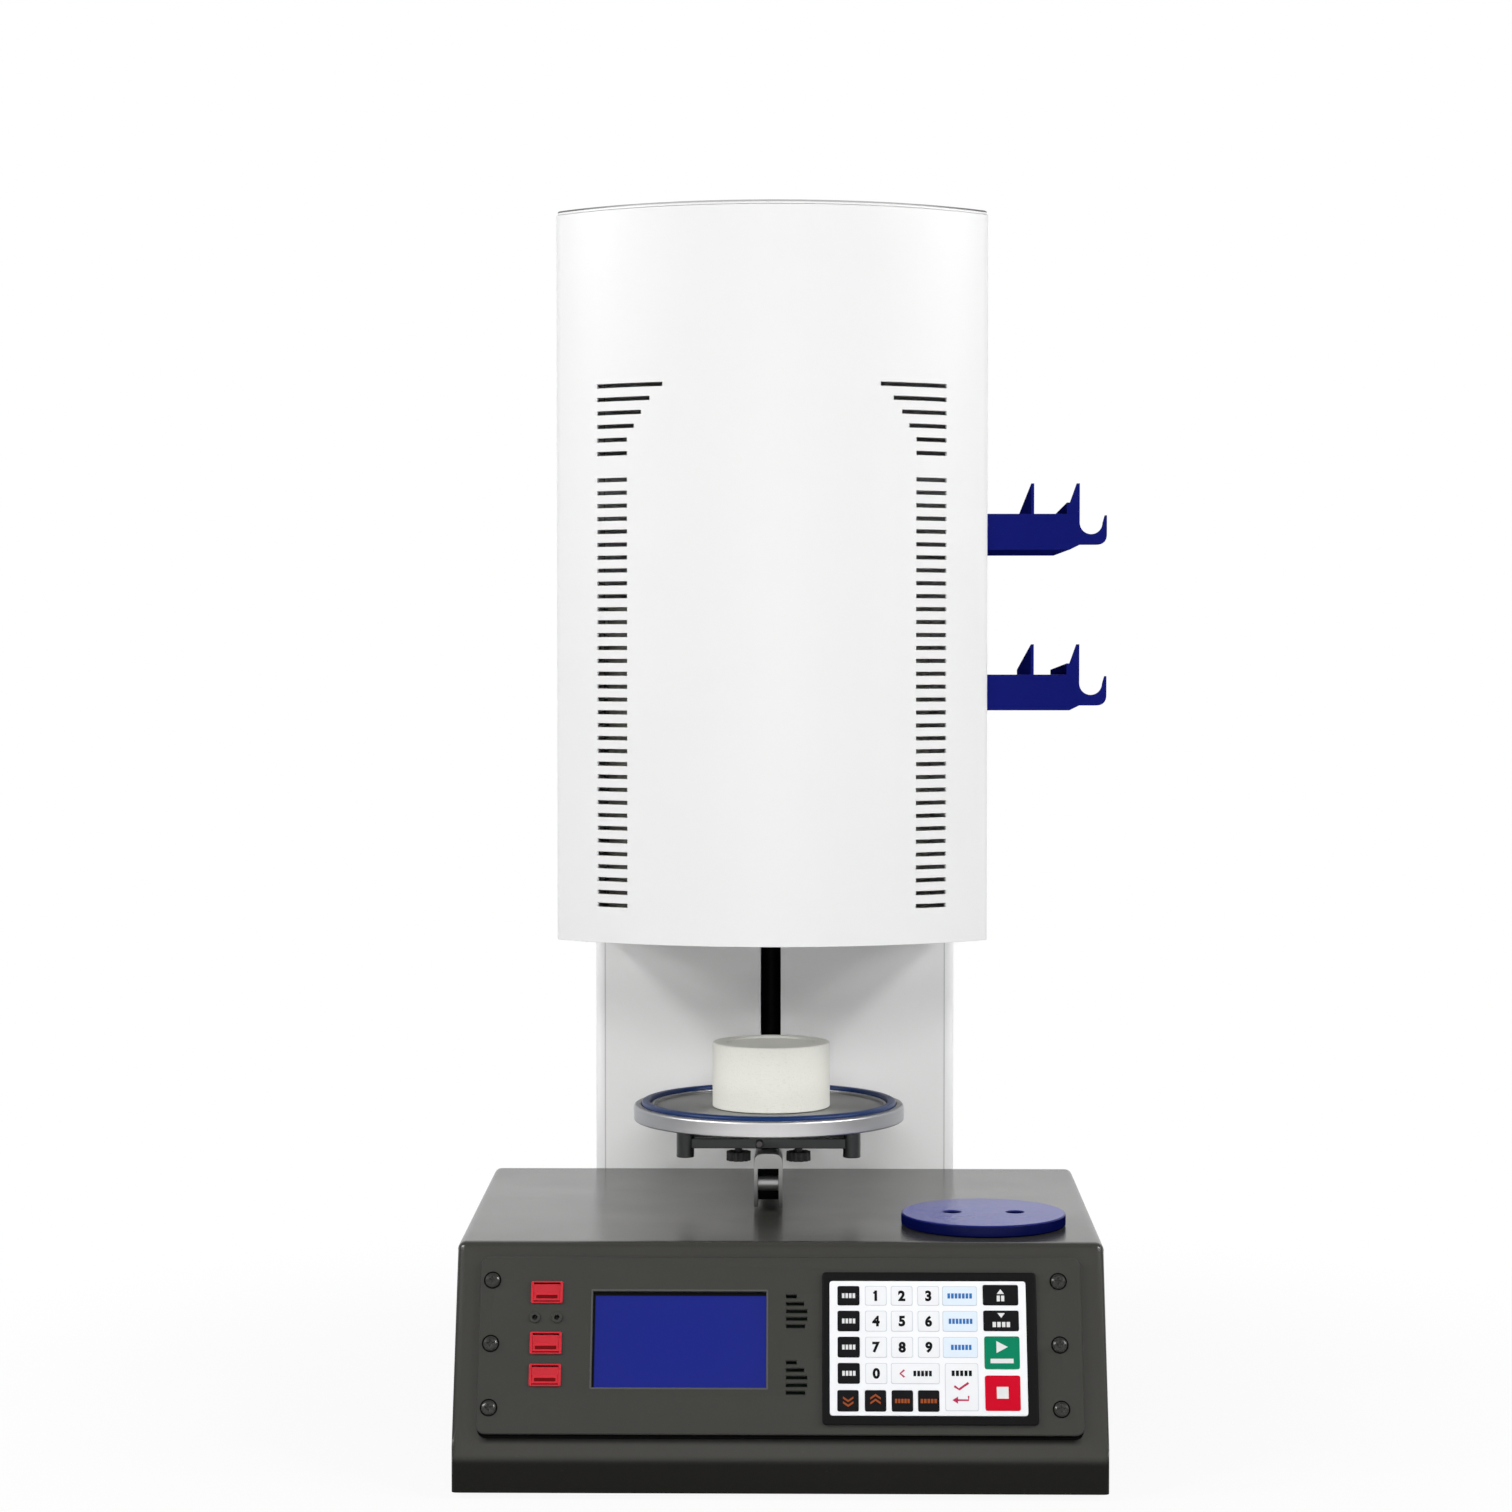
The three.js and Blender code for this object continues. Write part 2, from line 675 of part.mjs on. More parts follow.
function makeFuseHolder() {
  const shape = turned([
    [0, -fuse.backDepth],
    [fuse.neckRadius, -fuse.backDepth],
    [fuse.neckRadius, 0],
    [fuse.capRadius, 0],
    [fuse.capRadius, fuse.capLength],
    [0, fuse.capLength],
  ], 24);
  const slot = block(2 * fuse.capRadius + overrun, fuse.slot, overrun, 0, 0, fuse.capLength - fuse.slot);
  const holder = placedOnRearWall(cut(shape, slot), fuse.x, rearFittingHeight + fuse.rise);
  piece('fuse_holder', 'blackPlastic', holder);
}

function makeHosePort() {
  const h = hosePort;
  const profile = [
    [0, -h.backDepth],
    [h.neckRadius, -h.backDepth],
    [h.neckRadius, 0],
    [h.baseRadius, 0],
    [h.baseRadius, h.baseLength],
  ];
  for (let i = 0; i < h.barbCount; i += 1) {
    const start = h.baseLength + i * h.barbPitch;
    profile.push([h.barbRadius, start], [h.rootRadius, start + h.barbPitch]);
  }
  const end = h.baseLength + h.barbCount * h.barbPitch;
  profile.push([h.boreRadius, end], [h.boreRadius, 0], [0, 0]);
  piece('vacuum_port', 'brass', placedOnRearWall(turned(profile, 12), h.x, rearFittingHeight));
}

// The column: a folded sheet, open at the rear, with the slot that the lift arm runs in
const rearPanelThickness = 2;
const columnWallEnd = columnRear - rearPanelThickness - seatGap;
const spiderHeight = 17.1;
const armTop = plateBottom - spiderHeight;
const forkDrop = 35.2;
const slotHeadroom = 8;
const slotBottom = armTop - forkDrop;
const slotTop = headFloorTop + slotHeadroom;

const louvre = { width: 90, height: 3, pitch: 9, count: 9, lift: 150 };

function makeColumn() {
  const halfWidth = columnWidth / 2;
  const outline = (inset, rear) => roundedShape([
    point(towerX - halfWidth + inset, columnFront + inset),
    point(towerX + halfWidth - inset, columnFront + inset),
    point(towerX + halfWidth - inset, rear),
    point(towerX - halfWidth + inset, rear),
  ], [columnEdgeRadius - inset, columnEdgeRadius - inset, 0, 0]);
  const outer = prism(outline(0, columnWallEnd), columnBottom, columnTop);
  const inner = prism(outline(sheet, columnWallEnd + overrun), columnBottom - overrun, columnTop + overrun);
  const slot = block(slotWidth, 2 * overrun, slotTop - slotBottom, liftX, columnFront, slotBottom);
  piece('column_shell', 'whitePaint', cut(outer, inner, slot));

  const coverTop = headBottom - seatGap;
  const louvres = [];
  for (let i = 0; i < louvre.count; i += 1) {
    louvres.push(block(louvre.width, 2 * overrun, louvre.height,
      towerX, columnRear, columnBottom + louvre.lift + i * louvre.pitch));
  }
  const cover = block(columnWidth, rearPanelThickness, coverTop - columnBottom,
    towerX, columnRear - rearPanelThickness / 2, columnBottom);
  piece('column_rear_cover', 'whitePaint', cut(cover, ...louvres));
}

// The lift drive inside the column
const drive = {
  y: columnFront + 34,
  rodSpread: 40,
  rodRadius: 8,
  spindleRadius: 7,
  runningClearance: 0.3,
  motorSide: 57,
  motorHeight: 50,
  motorCorner: 5,
  bearingDepth: 56,
  bearingHeight: 15,
  carriageWidth: 116,
  carriageDepth: 38,
  carriageHeight: 60,
};

function makeDrive() {
  const d = drive;
  const motorBottom = floorTop + seatGap;
  const motorTop = motorBottom + d.motorHeight;
  const lowerBottom = motorTop + seatGap;
  const lowerTop = lowerBottom + d.bearingHeight;
  const upperBottom = slotTop + seatGap;
  const innerWidth = columnWidth - 2 * (sheet + seatGap);
  const bearingFront = columnFront + columnEdgeRadius + seatGap;
  const bearingY = bearingFront + d.bearingDepth / 2;

  const motor = softPrism(rectangle(d.motorSide, d.motorSide, d.motorCorner, liftX, d.y),
    motorBottom, motorTop, d.motorCorner / 5, 2);
  piece('lift_motor', 'blackSteel', motor);

  const lower = block(innerWidth, d.bearingDepth, d.bearingHeight, towerX, bearingY, lowerBottom);
  const lowerBore = cylinder(d.spindleRadius + d.runningClearance,
    lowerBottom - overrun, lowerTop + overrun, 20).translate(liftX, d.y, 0);
  piece('lower_bearing_block', 'aluminium', cut(lower, lowerBore));
  piece('upper_bearing_block', 'aluminium',
    block(innerWidth, d.bearingDepth, d.bearingHeight, towerX, bearingY, upperBottom));

  for (const [side, sign] of [['left', -1], ['right', 1]]) {
    piece(`guide_rod_${side}`, 'steel',
      cylinder(d.rodRadius, lowerTop + seatGap, upperBottom - seatGap, 20)
        .translate(liftX + sign * d.rodSpread, d.y, 0));
  }
  piece('lift_spindle', 'steel',
    cylinder(d.spindleRadius, motorTop + seatGap, upperBottom - seatGap, 20).translate(liftX, d.y, 0));

  const carriageBottom = armTop - (d.carriageHeight + forkDrop) / 2;
  const bores = [-d.rodSpread, 0, d.rodSpread].map((x) => {
    const radius = (x === 0 ? d.spindleRadius : d.rodRadius) + d.runningClearance;
    return cylinder(radius, carriageBottom - overrun, carriageBottom + d.carriageHeight + overrun, 20)
      .translate(liftX + x, d.y, 0);
  });
  const carriage = block(d.carriageWidth, d.carriageDepth, d.carriageHeight, liftX, d.y, carriageBottom);
  piece('lift_carriage', 'aluminium', cut(carriage, ...bores));
}

// The lift arm: a bar through the slot, with a forked nose and a cross pin in front
const arm = {
  sideClearance: 1,
  barHeight: 26,
  noseFront: 45,
  noseLength: 40,
  noseWidth: 18.9,
  noseCorner: 6.5,
  recessWidth: 13.5,
  recessRoof: 10,
  recessLength: 30,
  pinRadius: 5,
  pinDrop: 20.2,
  pinInset: 6.5,
  pinShort: 0.6,
};

function makeArm() {
  const front = axisY - arm.noseFront;
  const noseRear = front + arm.noseLength;
  const barRear = drive.y - drive.carriageDepth / 2 - seatGap;
  const bar = block(slotWidth - 2 * arm.sideClearance, barRear - noseRear + arm.noseLength / 2, arm.barHeight,
    liftX, (barRear + noseRear - arm.noseLength / 2) / 2, armTop - arm.barHeight);
  const noseMiddle = armTop - forkDrop / 2;
  const nose = prismAlongY(roundedShape([
    point(liftX - arm.noseWidth / 2, noseMiddle - forkDrop / 2),
    point(liftX + arm.noseWidth / 2, noseMiddle - forkDrop / 2),
    point(liftX + arm.noseWidth / 2, noseMiddle + forkDrop / 2),
    point(liftX - arm.noseWidth / 2, noseMiddle + forkDrop / 2),
  ], [0, 0, arm.noseCorner, arm.noseCorner]), front, noseRear);
  const recessTop = armTop - arm.recessRoof;
  const recess = block(arm.recessWidth, arm.recessLength + overrun, forkDrop,
    liftX, front + (arm.recessLength - overrun) / 2, recessTop - forkDrop);
  const pinY = front + arm.pinInset;
  const pinHeight = armTop - arm.pinDrop;
  const pinHole = prismAlongX(circle(arm.pinRadius + seatGap, pinY, pinHeight),
    liftX - arm.noseWidth, liftX + arm.noseWidth, 8);
  piece('lift_arm', 'aluminium', cut(join(bar, nose), recess, pinHole));
  const pinReach = arm.noseWidth / 2 - arm.pinShort;
  piece('arm_cross_pin', 'steel',
    prismAlongX(circle(arm.pinRadius, pinY, pinHeight), liftX - pinReach, liftX + pinReach, 10));
}

// The spider between the arm and the plate, with four levelling posts and two clamp knobs
const spider = {
  bottom: armTop + seatGap,
  barLength: 123,
  barDepth: 8,
  barHeight: 6.6,
  barSpread: 20,
  hubWidth: 27,
  postRadius: 5.9,
  postDrop: 6.2,
  knobRadius: 8.2,
  knobHeight: 6,
  knobGrooves: 12,
  knobGrooveRadius: 0.9,
  studRadius: 2.5,
  studLength: 2,
  knobSpread: 20,
  screwX: -6,
  screwHeadRadius: 2.6,
  screwCrownShare: 0.8,
  screwHeadHeight: 2,
  screwShankRadius: 1.4,
  screwLength: 4,
};

function makeSpider() {
  const s = spider;
  const top = plateBottom - seatGap;
  const postSpread = s.barLength / 2 - s.postRadius;
  const hub = block(s.hubWidth, 2 * s.barSpread + s.barDepth, top - s.bottom, liftX, axisY, s.bottom);
  const parts = [];
  for (const row of [-1, 1]) {
    const y = axisY + row * s.barSpread;
    parts.push(block(2 * postSpread, s.barDepth, s.barHeight, liftX, y, s.bottom));
    for (const side of [-1, 1]) {
      parts.push(cylinder(s.postRadius, s.bottom - s.postDrop, top, 16)
        .translate(liftX + side * postSpread, y, 0));
    }
  }
  const frontFace = axisY - s.barSpread - s.barDepth / 2;
  const screwHeight = s.bottom + s.barHeight / 2;
  const screwHole = prismAlongY(circle(s.screwShankRadius + seatGap, liftX + s.screwX, screwHeight),
    frontFace - overrun, frontFace + s.screwLength + seatGap, 6);
  piece('plate_spider', 'blackSteel', cut(join(hub, ...parts), screwHole));

  for (const [side, sign] of [['left', -1], ['right', 1]]) {
    const knobTop = s.bottom - seatGap - s.studLength;
    const knob = turned([
      [0, knobTop - s.knobHeight],
      [s.knobRadius, knobTop - s.knobHeight],
      [s.knobRadius, knobTop],
      [s.studRadius, knobTop],
      [s.studRadius, knobTop + s.studLength],
      [0, knobTop + s.studLength],
    ], 2 * s.knobGrooves);
    const grooves = [];
    for (let i = 0; i < s.knobGrooves; i += 1) {
      const angle = (i / s.knobGrooves) * Math.PI * 2;
      grooves.push(cylinder(s.knobGrooveRadius, knobTop - s.knobHeight - overrun, knobTop + seatGap, 6)
        .translate(s.knobRadius * Math.cos(angle), s.knobRadius * Math.sin(angle), 0));
    }
    piece(`clamp_knob_${side}`, 'blackPlastic',
      cut(knob, ...grooves).translate(liftX + sign * s.knobSpread, axisY - s.barSpread, 0));
  }

  const screw = turned([
    [0, -s.screwHeadHeight],
    [s.screwHeadRadius * s.screwCrownShare, -s.screwHeadHeight],
    [s.screwHeadRadius, -s.screwHeadHeight / 2],
    [s.screwHeadRadius, 0],
    [s.screwShankRadius, 0],
    [s.screwShankRadius, s.screwLength],
    [0, s.screwLength],
  ], 16).rotateX(-Math.PI / 2);
  piece('hub_screw', 'steel', screw.translate(liftX + s.screwX, frontFace - seatGap, screwHeight));
}

// The lift plate with its seal ring and the firing block
const plateEdge = 1.2;
const sealGroove = { clearance: 0.4, depth: 2.2 };
const sealChamferShare = 0.3;
const blockShift = 1.6;
const blockEdge = 1.2;
const blockRecess = { radius: 30, depth: 1.2 };
const roundSegments = 48;

function makePlate() {
  const grooveInner = sealRadius - sealWidth / 2 - sealGroove.clearance;
  const grooveOuter = sealRadius + sealWidth / 2 + sealGroove.clearance;
  const plate = turned([
    [0, plateBottom],
    [plateRadius - plateEdge, plateBottom],
    [plateRadius, plateBottom + plateEdge],
    [plateRadius, plateTop - plateEdge],
    [plateRadius - plateEdge, plateTop],
    [grooveOuter, plateTop],
    [grooveOuter, plateTop - sealGroove.depth],
    [grooveInner, plateTop - sealGroove.depth],
    [grooveInner, plateTop],
    [0, plateTop],
  ], roundSegments);
  piece('lift_plate', 'aluminium', plate.translate(liftX, axisY, 0));

  const sealBottom = plateTop - sealGroove.depth + seatGap;
  const sealTop = sealBottom + sealHeight;
  const sealInner = sealRadius - sealWidth / 2;
  const sealOuter = sealRadius + sealWidth / 2;
  const sealChamfer = sealChamferShare * sealWidth;
  piece('seal_ring', 'blueSilicone', turned([
    [sealInner + sealChamfer, sealBottom],
    [sealOuter - sealChamfer, sealBottom],
    [sealOuter, sealBottom + sealChamfer],
    [sealOuter, sealTop - sealChamfer],
    [sealOuter - sealChamfer, sealTop],
    [sealInner + sealChamfer, sealTop],
    [sealInner, sealTop - sealChamfer],
    [sealInner, sealBottom + sealChamfer],
  ], roundSegments, true).translate(liftX, axisY, 0));

  const bottom = plateTop + seatGap;
  const top = bottom + blockHeight;
  const firingBlock = turned([
    [0, bottom],
    [blockRadius - blockEdge, bottom],
    [blockRadius, bottom + blockEdge],
    [blockRadius, top - blockEdge],
    [blockRadius - blockEdge, top],
    [blockRecess.radius, top],
    [blockRecess.radius - blockRecess.depth, top - blockRecess.depth],
    [0, top - blockRecess.depth],
  ], roundSegments);
  piece('firing_block', 'ceramicFibre', firingBlock.translate(liftX + blockShift, axisY, 0));
}

// The head casing: flat sides and a bulged front, with slotted vents
function headOutline(inset, rear) {
  const halfWidth = headWidth / 2 - inset;
  const radius = headArcRadius - inset;
  const sideY = headArcY - Math.sqrt(radius ** 2 - halfWidth ** 2);
  const sweep = Math.asin(halfWidth / radius);
  const shape = new THREE.Shape();
  shape.moveTo(towerX - halfWidth, rear);
  shape.lineTo(towerX - halfWidth, sideY);
  shape.absarc(towerX, headArcY, radius, -Math.PI / 2 - sweep, -Math.PI / 2 + sweep, false);
  shape.lineTo(towerX + halfWidth, rear);
  shape.closePath();
  return shape;
}

const headArcSegments = 16;
const vent = {
  outerX: 111.5,
  innerX: 92,
  height: 2.6,
  lowest: 24.3,
  pitch: 8.22,
  count: 34,
  flareGap: 16.8,
  flarePitch: 8.6,
  flareLength: 23,
};
const flareShares = [0, 0, 0.2, 0.4, 0.64, 1];

function makeVentCuts() {
  const cuts = [];
  const columnEnd = headBottom + vent.lowest + (vent.count - 1) * vent.pitch;
  const rows = [];
  for (let i = 0; i < vent.count; i += 1) {
    rows.push({ z: headBottom + vent.lowest + i * vent.pitch, extra: 0 });
  }
  flareShares.forEach((share, i) => {
    rows.push({ z: columnEnd + vent.flareGap + i * vent.flarePitch, extra: share * vent.flareLength });
  });
  for (const row of rows) {
    const inner = vent.innerX - row.extra;
    const width = vent.outerX - inner;
    const depth = headArcRadius / 2;
    for (const side of [-1, 1]) {
      cuts.push(block(width, depth, vent.height,
        towerX + side * (inner + width / 2), headSideY - headBulge + depth / 2, row.z - vent.height / 2));
    }
  }
  return cuts;
}

const chamberRadius = 52;
const headOpeningRadius = 50;
const rearVent = { width: 150, height: 3, pitch: 12, count: 14, drop: 60 };

function makeHead() {
  const coverTop = headTop - lidThickness - seatGap;
  const outer = prism(headOutline(0, columnRear), headBottom, coverTop, headArcSegments);
  const inner = prism(headOutline(headWall, columnRear + overrun), headBottom - overrun, coverTop + overrun,
    headArcSegments);
  piece('head_cover', 'whitePaint', cut(outer, inner, ...makeVentCuts()));

  const lidInset = headWall / 2;
  const lid = softPrism(headOutline(lidInset, columnRear - lidInset), headTop - lidThickness, headTop,
    lidThickness / 4, headArcSegments);
  piece('head_lid', 'whitePaint', lid);

  const fitted = headWall + seatGap;
  const rearLimit = columnRear - rearPanelThickness - seatGap;
  const floor = prism(headOutline(fitted, rearLimit), headFloorBottom, headFloorTop, headArcSegments);
  const columnCut = block(columnWidth + 2 * seatGap, 2 * columnDepth, overrun * 2,
    towerX, columnFront - seatGap + columnDepth, headFloorBottom - overrun / 2);
  const opening = cylinder(headOpeningRadius, headFloorBottom - overrun, headFloorTop + overrun, 48)
    .translate(liftX, axisY, 0);
  piece('head_floor', 'steel', cut(floor, columnCut, opening));

  const panelTop = coverTop;
  const slots = [];
  for (let i = 0; i < rearVent.count; i += 1) {
    slots.push(block(rearVent.width, 2 * overrun, rearVent.height,
      towerX, columnRear, panelTop - rearVent.drop - i * rearVent.pitch));
  }
  const rearPanel = block(headWidth - 2 * fitted, rearPanelThickness, panelTop - headBottom,
    towerX, columnRear - rearPanelThickness / 2, headBottom);
  piece('head_rear_panel', 'whitePaint', cut(rearPanel, ...slots));
}

// The furnace inside the head: heating muffle, insulation and the press
const furnaceBottom = headFloorTop + seatGap;
const muffle = { wall: 7.4, height: 148 };
const insulation = { radius: 108, roof: 60, plungerHole: 9, headroom: 2 };
const press = {
  bridgeWidth: 90,
  bridgeThickness: 6,
  bridgeOverhang: 42,
  flangeHeight: 60,
  cylinderRadius: 26,
  cylinderHeight: 100,
  cylinderRoof: 8,
  boreRadius: 18,
  pistonHeight: 14,
  pistonHeadroom: 1,
  rodRadius: 6,
  rodClearance: 0.6,
  tipInset: 4,
};

function makeFurnace() {
  const muffleTop = furnaceBottom + muffle.height;
  const muffleOuter = chamberRadius + muffle.wall;
  piece('heating_muffle', 'quartz', turned([
    [chamberRadius, furnaceBottom],
    [muffleOuter, furnaceBottom],
    [muffleOuter, muffleTop],
    [chamberRadius, muffleTop],
  ], 32, true).translate(liftX, axisY, 0));

  const roofBottom = muffleTop + insulation.headroom;
  const roofTop = roofBottom + insulation.roof;
  piece('muffle_insulation', 'ceramicFibre', turned([
    [muffleOuter + seatGap, furnaceBottom],
    [insulation.radius, furnaceBottom],
    [insulation.radius, roofTop],
    [insulation.plungerHole, roofTop],
    [insulation.plungerHole, roofBottom],
    [muffleOuter + seatGap, roofBottom],
  ], 32, true).translate(liftX, axisY, 0));

  const bridgeBottom = roofTop + seatGap;
  const bridgeTop = bridgeBottom + press.bridgeThickness;
  const bridgeFront = axisY - press.bridgeOverhang;
  const bridgeRear = columnFront - seatGap;
  const bridge = block(press.bridgeWidth, bridgeRear - bridgeFront, press.bridgeThickness,
    liftX, (bridgeRear + bridgeFront) / 2, bridgeBottom);
  const flange = block(press.bridgeWidth, press.bridgeThickness, press.flangeHeight,
    liftX, bridgeRear - press.bridgeThickness / 2, bridgeBottom);
  const rodHole = cylinder(press.rodRadius + press.rodClearance,
    bridgeBottom - overrun, bridgeTop + overrun, 20).translate(liftX, axisY, 0);
  piece('press_bridge', 'zincSheet', cut(join(bridge, flange), rodHole));

  const cylinderBottom = bridgeTop + seatGap;
  const cylinderTop = cylinderBottom + press.cylinderHeight;
  const boreTop = cylinderTop - press.cylinderRoof;
  piece('press_cylinder', 'aluminium', turned([
    [0, cylinderTop],
    [press.cylinderRadius, cylinderTop],
    [press.cylinderRadius, cylinderBottom],
    [press.boreRadius, cylinderBottom],
    [press.boreRadius, boreTop],
    [0, boreTop],
  ], 24).translate(liftX, axisY, 0));

  const pistonTop = boreTop - press.pistonHeadroom;
  const pistonBottom = pistonTop - press.pistonHeight;
  const tip = roofBottom + press.tipInset;
  piece('press_plunger', 'alumina', turned([
    [0, tip],
    [press.rodRadius, tip],
    [press.rodRadius, pistonBottom],
    [press.boreRadius - seatGap, pistonBottom],
    [press.boreRadius - seatGap, pistonTop],
    [0, pistonTop],
  ], 24).translate(liftX, axisY, 0));
}

// Tong holders on the right side: a folded shelf with two fins and a hook in front
const holder = {
  frontY: 171.5,
  depth: 140,
  sheet: 2,
  barHeight: 23.6,
  barLength: 56.5,
  fingerLength: 63,
  fingerHeight: 43.6,
  fingerShoulder: 31,
  hookReach: 80.9,
  hookTip: 2.8,
  hookHeight: 22.6,
  hookLift: 3.2,
  hookRadius: 7,
  notchFloor: 10.2,
  finX: 33,
  finHeight: 43.6,
  finEnd: 26,
  upperRise: 253.5,
  lowerRise: 147.6,
};

function makeHolder(name, rise) {
  const h = holder;
  const wallX = towerX + headWidth / 2 + seatGap;
  const bottom = headBottom + rise;
  const notchRadius = (h.hookReach - h.hookTip - h.fingerLength) / 2;
  const notchX = h.fingerLength + notchRadius;
  const notchZ = h.notchFloor + notchRadius;

  const outline = new THREE.Shape();
  outline.moveTo(0, 0);
  outline.lineTo(h.barLength, 0);
  outline.lineTo(h.fingerLength, h.hookLift);
  outline.lineTo(h.hookReach - h.hookRadius, h.hookLift);
  outline.quadraticCurveTo(h.hookReach, h.hookLift, h.hookReach, h.hookLift + h.hookRadius);
  outline.lineTo(h.hookReach, h.hookHeight);
  outline.lineTo(h.hookReach - h.hookTip / 2, h.hookHeight);
  outline.lineTo(notchX + notchRadius, notchZ);
  outline.absarc(notchX, notchZ, notchRadius, 0, -Math.PI, true);
  outline.lineTo(h.fingerLength, h.fingerHeight);
  outline.lineTo(h.fingerLength - h.sheet, h.fingerHeight);
  outline.lineTo(h.barLength, h.fingerShoulder);
  outline.lineTo(h.barLength, h.barHeight);
  outline.lineTo(0, h.barHeight);
  outline.closePath();
  const front = prismAlongY(outline, h.frontY, h.frontY + h.sheet, 8);

  const rear = h.frontY + h.depth;
  const middle = h.frontY + h.depth / 2;
  const shelf = block(h.barLength, h.depth, h.sheet, h.barLength / 2, middle, 0);
  const wallFlange = block(h.sheet, h.depth, h.barHeight, h.sheet / 2, middle, 0);
  const fin = (right, height, end) => prismAlongX(new THREE.Shape([
    point(h.frontY, 0),
    point(rear, 0),
    point(rear, end),
    point(h.frontY, height),
  ]), right - h.sheet, right);
  const body = join(front, shelf, wallFlange,
    fin(h.finX, h.finHeight, h.finEnd), fin(h.barLength, h.fingerShoulder, h.finEnd));
  piece(name, 'bluePaint', body.translate(wallX, 0, bottom));
}

// The cooling tray: a loose disc on the console top with two lifting holes
const tray = { x: 130.9, y: 118.5, radius: 53.2, thickness: 7.6, holeRadius: 5.5, holeSpread: 20.4, edge: 0.8 };

function makeTray() {
  const shape = circle(tray.radius);
  for (const side of [-1, 1]) shape.holes.push(circle(tray.holeRadius, side * tray.holeSpread, 0));
  const bottom = consoleTop + seatGap;
  const disc = softPrism(shape, bottom, bottom + tray.thickness, tray.edge, 20);
  piece('cooling_tray', 'bluePaint', disc.translate(tray.x, tray.y, 0));
}

makeConsoleShell();
makeFloor();
makeFeet();
makePanel();
makePanelScrews();
makeSwitches();
makeJacks();
makeDisplay();
makeKeypad();
makeTransformer();
makeInlet();
makeFuseHolder();
makeHosePort();
makeColumn();
makeDrive();
makeArm();
makeSpider();
makePlate();
makeHead();
makeFurnace();
makeHolder('tong_holder_upper', holder.upperRise);
makeHolder('tong_holder_lower', holder.lowerRise);
makeTray();

// The origin moves under the middle of the whole
const reachRight = towerX + headWidth / 2 + seatGap + holder.hookReach;
const reachLeft = -Math.max(consoleWidth, consoleRearWidth) / 2;
furnace.position.set(-(reachRight + reachLeft) / 2, -columnRear / 2, 0);

export default furnace;
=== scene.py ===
"""A dental laboratory press furnace: its looks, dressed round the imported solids.

Sizes are in millimetres in the furnace's own measure: X from the console's middle, Y backwards from the
plinth's front, Z up from the table. placed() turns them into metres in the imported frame.
"""

import json
import math

import bmesh
import bpy
import numpy as np
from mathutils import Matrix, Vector


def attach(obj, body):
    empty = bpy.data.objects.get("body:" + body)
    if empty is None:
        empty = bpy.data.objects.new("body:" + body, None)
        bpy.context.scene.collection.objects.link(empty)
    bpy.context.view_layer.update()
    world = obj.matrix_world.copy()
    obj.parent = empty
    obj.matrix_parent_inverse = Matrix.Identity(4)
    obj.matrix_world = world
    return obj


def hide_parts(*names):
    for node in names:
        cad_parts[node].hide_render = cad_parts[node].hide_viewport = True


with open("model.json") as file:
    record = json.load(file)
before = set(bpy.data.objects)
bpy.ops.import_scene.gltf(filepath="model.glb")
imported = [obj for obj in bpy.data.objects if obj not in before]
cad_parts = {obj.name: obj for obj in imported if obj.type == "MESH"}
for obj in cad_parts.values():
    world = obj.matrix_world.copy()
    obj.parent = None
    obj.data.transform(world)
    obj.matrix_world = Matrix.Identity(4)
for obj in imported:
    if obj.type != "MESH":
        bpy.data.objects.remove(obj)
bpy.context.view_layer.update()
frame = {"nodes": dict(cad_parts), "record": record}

MM = 0.001
FRAME_SHIFT = np.array([3.725, 226.9, 0.0])
TOWER_X = -6.0
LIFT_X, AXIS_Y = -8.8, 206.8
AXIS = (LIFT_X, AXIS_Y, 0.0)
SEAT_GAP = 0.3
ROUND_SIDES = 128

# Console and panel
CONSOLE_WIDTH, CONSOLE_REAR_WIDTH, CONSOLE_DEPTH = 404.0, 413.5, 349.5
CONSOLE_FRONT_RISE, CONSOLE_SETBACK, CONSOLE_TOP = 24.5, 50.1, 150.0
CONSOLE_EDGE, CONSOLE_SHEET = 5.0, 2.0
FRONT_SLOPE = math.atan2(CONSOLE_SETBACK, CONSOLE_TOP - CONSOLE_FRONT_RISE)
PANEL_LIFT, PANEL_FACE = 2.5, 4.3
PANEL_MIDDLE_Y = CONSOLE_SETBACK / 2 + PANEL_LIFT * math.sin(FRONT_SLOPE)
PANEL_MIDDLE_Z = (CONSOLE_TOP + CONSOLE_FRONT_RISE) / 2 + PANEL_LIFT * math.cos(FRONT_SLOPE)
PANEL_WIDTH, PANEL_HEIGHT, PANEL_CORNER = 374.0, 110.0, 6.0
# Drop of the black strip below the panel, a painted shadow
SHADE_STRIP_DROP = 2.0
WINDOW_LEFT, WINDOW_RIGHT, WINDOW_LOW, WINDOW_HIGH = -116.5, -8.7, -26.25, 33.25
WINDOW_X, WINDOW_Y = (WINDOW_LEFT + WINDOW_RIGHT) / 2, (WINDOW_LOW + WINDOW_HIGH) / 2
KEYPAD_FACE = 6.8
ROCKER_X = -145.3

# Column and head
COLUMN_WIDTH, COLUMN_EDGE, COLUMN_FRONT, COLUMN_REAR = 256.5, 7.0, 349.8, 453.8
HEAD_WIDTH, HEAD_DEPTH, HEAD_BULGE = 278.0, 330.0, 56.0
HEAD_BOTTOM, HEAD_TOP, HEAD_CORNER, HEAD_WALL = 333.9, 803.6, 2.4, 1.6
LID_THICKNESS, LID_EDGE = 2.5, 1.3
HEAD_SIDE_Y = COLUMN_REAR - HEAD_DEPTH
HEAD_ARC_RADIUS = ((HEAD_WIDTH / 2) ** 2 + HEAD_BULGE ** 2) / (2 * HEAD_BULGE)
HEAD_ARC_Y = HEAD_SIDE_Y - HEAD_BULGE + HEAD_ARC_RADIUS

